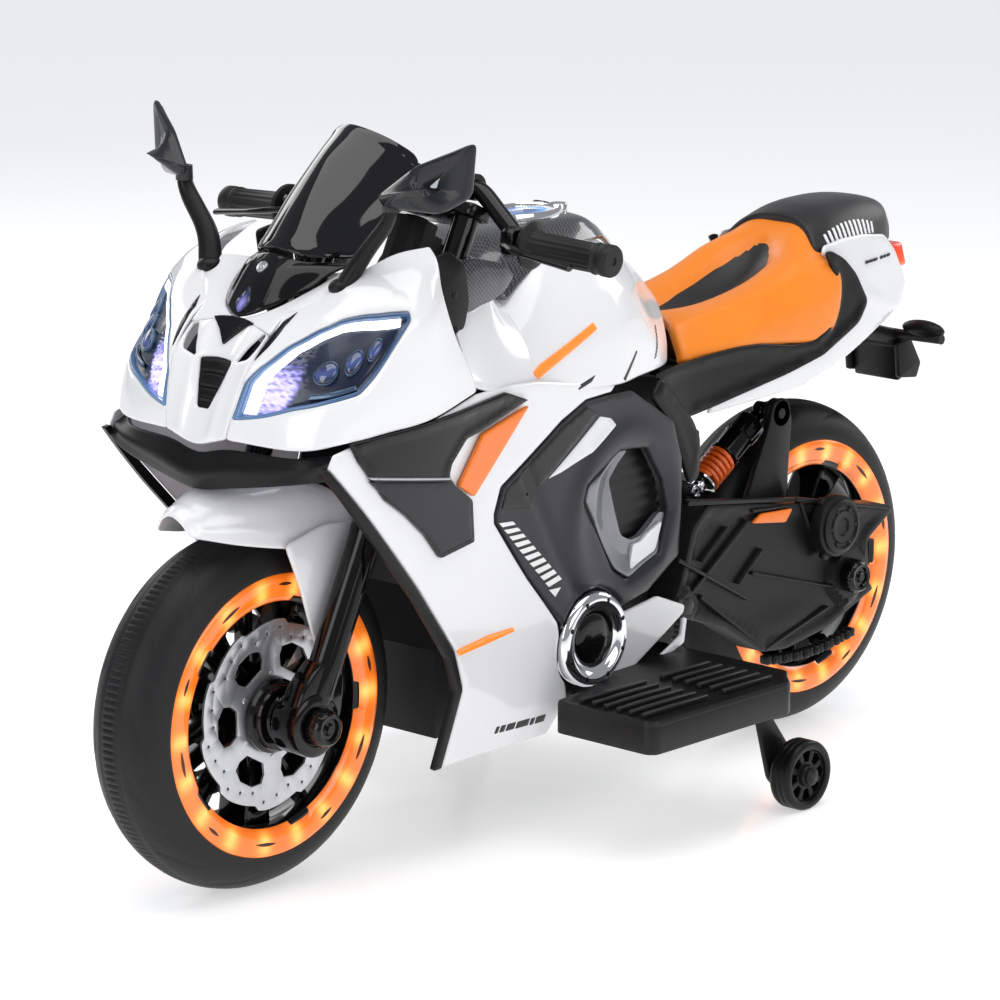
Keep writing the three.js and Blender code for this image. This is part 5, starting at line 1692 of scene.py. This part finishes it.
reflector = slab([(-238, 259), (-252, 267), (-303, 264), (-292, 251)], 95, 99.4, bevel=1.2, corner=3)
both("arm_reflector", reflector, orange_plastic, "swingarm")
links = []
for (x0, z0), (x1, z1), count in (((-150, 270), (-226, 257), 9), ((-276, 103), (-424, 107), 17)):
    for k in range(count):
        t = (k + 0.5) / count
        x, z = x0 + (x1 - x0) * t, z0 + (z1 - z0) * t - 7 * math.sin(math.pi * t) * (z0 < 200)
        links.append(box_shape(x - 3.4, x + 3.4, 78, 90 + (k % 2), z - 4.6, z + 4.6, 1.4))
        if k % 2:
            links.append(turned([(0.05, 92.5), (2, 92.4), (2.6, 91.6), (2.6, 88)], 10, centre=(x, 0, z)))
both("mock_chain", merge(*links), black_plastic, "swingarm", smooth=45)
pivot_cap = turned([(0.05, 99.4), (7, 99.2), (10.5, 98.4), (11, 97.4), (11, 92)], 6,
                   centre=(PIVOT_AT[0], 0, PIVOT_AT[1]))
both("pivot_bolt", pivot_cap, gloss_black, "swingarm", smooth=30)

# ---- drive housing and rear axle ----------------------------------------------------------
# The geared motor stands on the left arm in a stepped round case with a ring of
# screws. The axle nuts are covered by ribbed black caps.
MOTOR_AT = (-366, 0, 236)
case = turned([(0.05, 114.6), (9, 114.8), (10, 116.6), (17, 117), (18, 115.4), (22, 115.6), (23.5, 117.8),
               (26, 117.6),
               (28.6, 115.4), (29, 112.6), (32.2, 111.4), (33, 109), (33, 98.3)], 80, centre=MOTOR_AT)
case_screws = [turned([(0.05, 117.6), (1.6, 117.4), (2.3, 116.6), (2.3, 113)], 10,
                      centre=(MOTOR_AT[0] + 20 * math.cos(t), 0, MOTOR_AT[2] + 20 * math.sin(t)))
               for t in (2 * math.pi * k / 6 for k in range(6))]
case_lugs = [place(slab([(-6, 26), (6, 26), (4, 38), (-4, 38)], 98.4, 106, bevel=1, corner=3), MOTOR_AT,
                   turn=Matrix.Rotation(t, 4, "Y")) for t in (0.6, 2.7, 4.4)]
build("motor_case", merge(case, *case_screws, *case_lugs), arm_black, "swingarm",
      "motor_housing",
      smooth=40)


def axle_end(y0, y1, r):
    """A stepped cap with a hexagon in the middle."""
    cap = turned([(0.05, y1 - 2), (5, y1 - 2), (6.2, y1 - 3.4), (9.6, y1 - 3.4), (11, y1 - 0.6), (14, y1),
                  (15.6, y1 - 1.2),
                  (r - 0.6, y1 - 5), (r, y1 - 7), (r, y0)], 60,
                 radius=lambda a, q, y: q - (0.7 if q > r - 1 and math.cos(a * 18) > 0.3 else 0))
    nut = turned([(0.05, y1 + 0.2), (4.4, y1 + 0.2), (5.2, y1 - 0.6), (5.2, y1 - 4)], 6)
    return merge(cap, nut)


def axle_shape(y0, y1, r):
    end = axle_end(y0, y1, r)
    pin = turned([(0.05, -y0 - 4), (8, -y0 - 4), (8, y0 + 4), (0.05, y0 + 4)], 32)
    return merge(end, place(end, mirror=True), pin)


build("rear_axle_caps", place(axle_shape(98.4, 115.8, 18), REAR_AXLE), gloss_black, "rear_wheel",
      "rear_axle", smooth=35)
build("front_axle_caps", place(axle_shape(100.4, 117.8, 18), FRONT_AXLE), gloss_black, "steering",
      "front_axle", smooth=35)

# ---- rear shock absorber ---------------------------------------------------------------------
# A small coil-over on the left: an orange coil round a plated rod in front, and a
# black body with a knurled cap behind. Each end turns on a pin.
shock_a, shock_b = np.array((-213, 40, 288.0)), np.array((-321, 40, 358.0))
shock_way = (shock_b - shock_a) / np.linalg.norm(shock_b - shock_a)
shock_turn = Vector((0, 1, 0)).rotation_difference(Vector(shock_way)).to_matrix().to_4x4()


def on_shock(shape):
    """A shape drawn along y from the front eye, laid along the shock."""
    return place(shape, tuple(shock_a), turn=shock_turn)


rod_parts = merge(on_shock(turned([(0.05, 2), (5, 2), (5, 84), (0.05, 84)], 28)),
                  on_shock(turned([(5, 4), (8, 4), (8, 11), (16, 12), (17, 13), (17, 15), (16, 16),
                                   (5, 16)], 40, closed=True)),
                  turned([(5.2, -9), (8, -9), (9, -8), (9, 4), (8, 5), (5.2, 5)], 28, centre=tuple(shock_a),
                         closed=True),
                  turned([(0.05, -18), (5, -18), (5, 2), (0.05, 2)], 24, centre=tuple(shock_a)))
build("shock_plunger", rod_parts, chrome, "shock_lower", "shock_rod", smooth=40)
orange_coil = finish("orange_coil", (0.85, 0.13, 0.01), 0.28, coat=0.5, vary=0.06, grain=700)
coil_path = []
for k in range(181):
    t = k / 180
    lead = min(1, max(0, (t - 0.06) / 0.88))
    a = 2 * math.pi * 5.5 * t
    coil_path.append((14.2 * math.cos(a), 18.6 + 33.2 * lead, 14.2 * math.sin(a)))
coil = build("shock_coil", on_shock(swept(coil_path, 2.7, 10)), orange_coil, "shock_lower",
             "shock_spring", smooth=50)
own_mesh(coil)
body_shape = on_shock(turned([(5.4, 54.6), (16, 54.6), (17, 55.6), (17, 58), (15.4, 59), (15.4, 84),
                              (17, 85), (17, 106.6),
                              (15.6, 108), (8, 108.6), (8, 118), (0.05, 118), (0.05, 98.4), (5.4, 98.4)],
                             60,
                             radius=lambda a, r, y: r - (0.6 if r > 16.5 and y > 84 and math.cos(a * 24) > 0
                                                         else 0),
                             closed=True))
body_eye = turned([(5.1, 34), (8, 34), (9, 35), (9, 45), (8, 46), (5.1, 46)], 28, centre=SHOCK_EYE,
                  closed=True)
body_pin = turned([(0.05, 40), (5, 40), (5, 67), (0.05, 67)], 24, centre=SHOCK_EYE)
build("shock_body", merge(body_shape, body_eye, body_pin), gloss_black, "shock_upper",
      "shock_cylinder", smooth=40)

# ---- forks ------------------------------------------------------------------------------------
# Gloss black fork legs: a thick lower slider with a clamp for the axle, a machined
# wiper ring and a thinner stanchion that runs up through both yokes.
def fork_shape():
    slider = [(0, 85, w) for w in (20, 24, 60, 120, 170, 183, 190, 196, 200, 204, 300, 420, 503, 508, 509)]
    radii = (14.6, 16, 16, 16, 16, 16.4, 17.4, 17.4, 15, 13, 13, 13, 13, 12.4, 9)
    leg = leaned_shape(swept(slider, radii, 40))
    lug = turned([(8.4, 66), (27, 66), (30, 68), (30.6, 74), (30.6, 92), (30, 98), (27, 100), (20, 100),
                  (19, 98.8),
                  (8.4, 98.8)], 64, centre=FRONT_AXLE, closed=True)
    clamp_nose = leaned_shape(slab([(-30, -6), (-30, 22), (-16, 60), (16, 60), (28, 30), (30, -6)], 72, 96,
                                   bevel=3, corner=8))
    pinch = leaned_shape(place(swept([(-31, 0, 0), (31, 0, 0)], 3.6, 6), (0, 84, 40)))
    rib = leaned_shape(slab([(-3, 30), (-2, 178), (2, 178), (3, 30)], 84, 102.2, bevel=1.2, corner=1))
    return merge(leg, lug, clamp_nose, pinch, rib)


both("fork_leg", fork_shape(), gloss_black, "steering", "fork", smooth=40)
low_yoke = leaned_shape(merge(slab(yoke_line, 318, 334, axis="z", bevel=2.4, corner=7, hollow=fork_holes),
                              swept([(-24, 0, 330), (-24, 0, 503)], 12, 32)))
build("fork_lower_yoke", low_yoke, black_plastic, "steering", "lower_yoke", smooth=40)

# ---- front mudguard ---------------------------------------------------------------------------
# A thin gloss white mudguard over the tyre, with a pointed leg down each side that a
# screw holds to the fork. Its front edge is cut square and lightly rolled.
guard_rows = [across(r) for r in (
    [(492, 0, 380), (491, 14, 374), (488, 24, 361)], [(455, 0, 394), (452, 28, 384), (445, 44, 349)],
    [(410, 0, 402), (408, 40, 388), (400, 58, 340)], [(360, 0, 399), (358, 46, 386), (352, 63, 332)],
    [(300, 0, 375), (298, 50, 366), (294, 63, 347)])]
guard = Patch(guard_rows, (0, 0, 1))
guard_top = panel(guard.whole(), guard, thick=3, roll=2.0, step=5, corner=10,
                  shape=lambda a, b, d: 1.4 * math.exp(-((d - 15) / 5) ** 2) * min(1, d / 6))
leg_plate = slab([(404, 344), (385, 300), (373, 262), (361, 230), (352, 227), (341, 232), (330, 262),
                  (320, 312),
                  (297, 350), (350, 356)], 60.4, 64.6, bevel=1.6, corner=8)
build("front_mudguard", merge(guard_top, leg_plate, place(leg_plate, mirror=True)), gloss_white, "steering",
      "front_fender", smooth=50)
guard_screw = turned([(0.05, 65.4), (1.6, 65.4), (1.9, 66.4), (3.6, 66), (4.4, 65), (4.4, 62)], 20,
                     centre=(356, 0, 240))
both("mudguard_screw", guard_screw, chrome, "steering", smooth=40)

# ---- footrests --------------------------------------------------------------------------------
# Broad black moulded steps bolted to the frame on both sides, ribbed on top in two
# steps, with a rolled outer wall that the stabiliser brackets hang from.
foot_outline = [(-130, 60), (2, 60), (8, 112), (20, 124), (60, 134), (112, 140), (112, 258), (104, 266),
                (-98, 266),
                (-112, 250), (-130, 236)]
STEP_HEIGHT = 150
on_foot = drop(caster([[(x, y, STEP_HEIGHT) for x in (-140, 0, 120)] for y in (50, 160, 275)], 4, 4, 0.05),
               "z")


def foot_form(a, b, d):
    """A sunken tread inside a raised rim."""
    return -2.6 * min(1, max(0, (d - 7) / 2.5))


foot_top = panel(foot_outline, on_foot, lift=-0.4, thick=5, roll=3.2, step=7, corner=7, shape=foot_form)
foot_wall = slab(foot_outline, 116, 146.4, axis="z", bevel=2, corner=7,
                 hollow=[shrink(soften(foot_outline, 7), 5)])
foot_ribs = []
for x0, x1 in ((-96, -22), (2, 98)):
    for k in range(6):
        y = 158 + k * 16
        foot_ribs.append(box_shape(x0, x1, y, y + 6, 146, 152.4, 1.6))
foot_block = box_shape(-122, -78, 186, 244, 116, 146, 2)
both("footrest_moulding", merge(foot_top, foot_wall, foot_block, *foot_ribs), arm_black, "chassis",
     "footrest", smooth=42)

# ---- stabiliser wheels ------------------------------------------------------------------------
# Small hard black wheels with eight windows, each on a stub axle at the end of a
# bent bracket below the footrest.
STABILISER_AXLE = (-153, 0, 36)
stub = slab([(-80, 114.6), (-80, 108), (-112, 98), (-132, 30), (-142, 20), (-160, 18), (-172, 30),
             (-168, 52),
             (-120, 114.6)], 206.2, 212.8, bevel=1.5, corner=9)
rib_edge = slab([(-96, 110), (-118, 96), (-142, 34), (-150, 34), (-134, 80), (-112, 110)], 203, 208,
                bevel=1.4, corner=4)
stub_plate = box_shape(-120, -80, 190, 240, 108, 114.6, 1.6)
stub_axle = turned([(0.05, 212), (9, 212), (9, 221.7), (5, 221.8), (5, 248.4), (9, 248.4), (9, 251),
                    (7.4, 252), (0.05, 252)],
                   28, centre=STABILISER_AXLE)
both("stabiliser_bracket", merge(stub, rib_edge, stub_plate, stub_axle), black_plastic, "chassis",
     "training_bracket", smooth=40)
windows = []
for k in range(8):
    t = 2 * math.pi * k / 8
    windows.append([(r * math.cos(t + da), r * math.sin(t + da))
                    for r, da in ((15, -0.2), (24.6, -0.24), (26, 0), (24.6, 0.24), (15, 0.2))])
small_hub = slab(circle(27.6, count=72), 228, 243, bevel=1.2, corner=0, hollow=[*windows, circle(5.4)])
small_boss = turned([(5.4, 222.4), (9.6, 222.4), (11, 224), (11.6, 230), (11.6, 241), (11, 246.6),
                     (9.6, 248), (5.4, 248)], 40,
                    closed=True)
small_tyre = turned([(27, 224), (28.4, 222.7), (33, 222.6), (34.8, 223.8), (36, 226.6), (36, 230),
                     (35.3, 231), (35.3, 232.4),
                     (36, 233.4), (36, 237), (35.3, 238), (35.3, 239.4), (36, 240.4), (36, 243.6),
                     (34.8, 246.2),
                     (33, 247.4), (28.4, 247.2), (27, 246)], 96, closed=True)
for side, word in SIDES:
    build(f"stabiliser_wheel_{word}", place(merge(small_hub, small_boss, small_tyre), STABILISER_AXLE,
                                            mirror=side < 0),
          black_plastic, f"training_wheel_{word}", f"training_wheel_{word}", smooth=40)

# ---- frame and battery --------------------------------------------------------------------------
# The blow-moulded black chassis and the sealed battery in its well stay as drawn in
# the CAD model, with moulded finishes. Two white panels clip on behind the ring.
frame_black = finish("frame_black", (0.006, 0.006, 0.0065), 0.48, specular=0.3, vary=0.3, grain=700,
                     depth=0.00012, pale_edges=0.2)
battery_grey = finish("battery_case", (0.04, 0.042, 0.048), 0.45, vary=0.15, grain=900, depth=0.0001)
for node, look, slot_name in (("main_frame", frame_black, "black_plastic"),
                              ("battery", battery_grey, "charcoal_plastic")):
    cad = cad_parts[node]
    cad.data.materials.clear()
    cad.data.materials.append(look)
both("rear_side_panel",
     panel([(-20, 206), (-82, 212), (-130, 193), (-128, 185), (-40, 140), (-6, 118), (0, 150)],
                              side_skin, lift=-1.5, thick=3, roll=1.8, step=5, corner=5), gloss_white,
     "chassis",
     smooth=50)
both("rear_side_strip",
     panel([(-58, 131), (-76, 126), (-134, 152), (-137, 180), (-129, 181), (-127, 160), (-100, 148)],
                              side_skin, lift=-3, thick=3, roll=1.4, step=5, corner=3), gloss_white,
     "chassis",
     smooth=50)
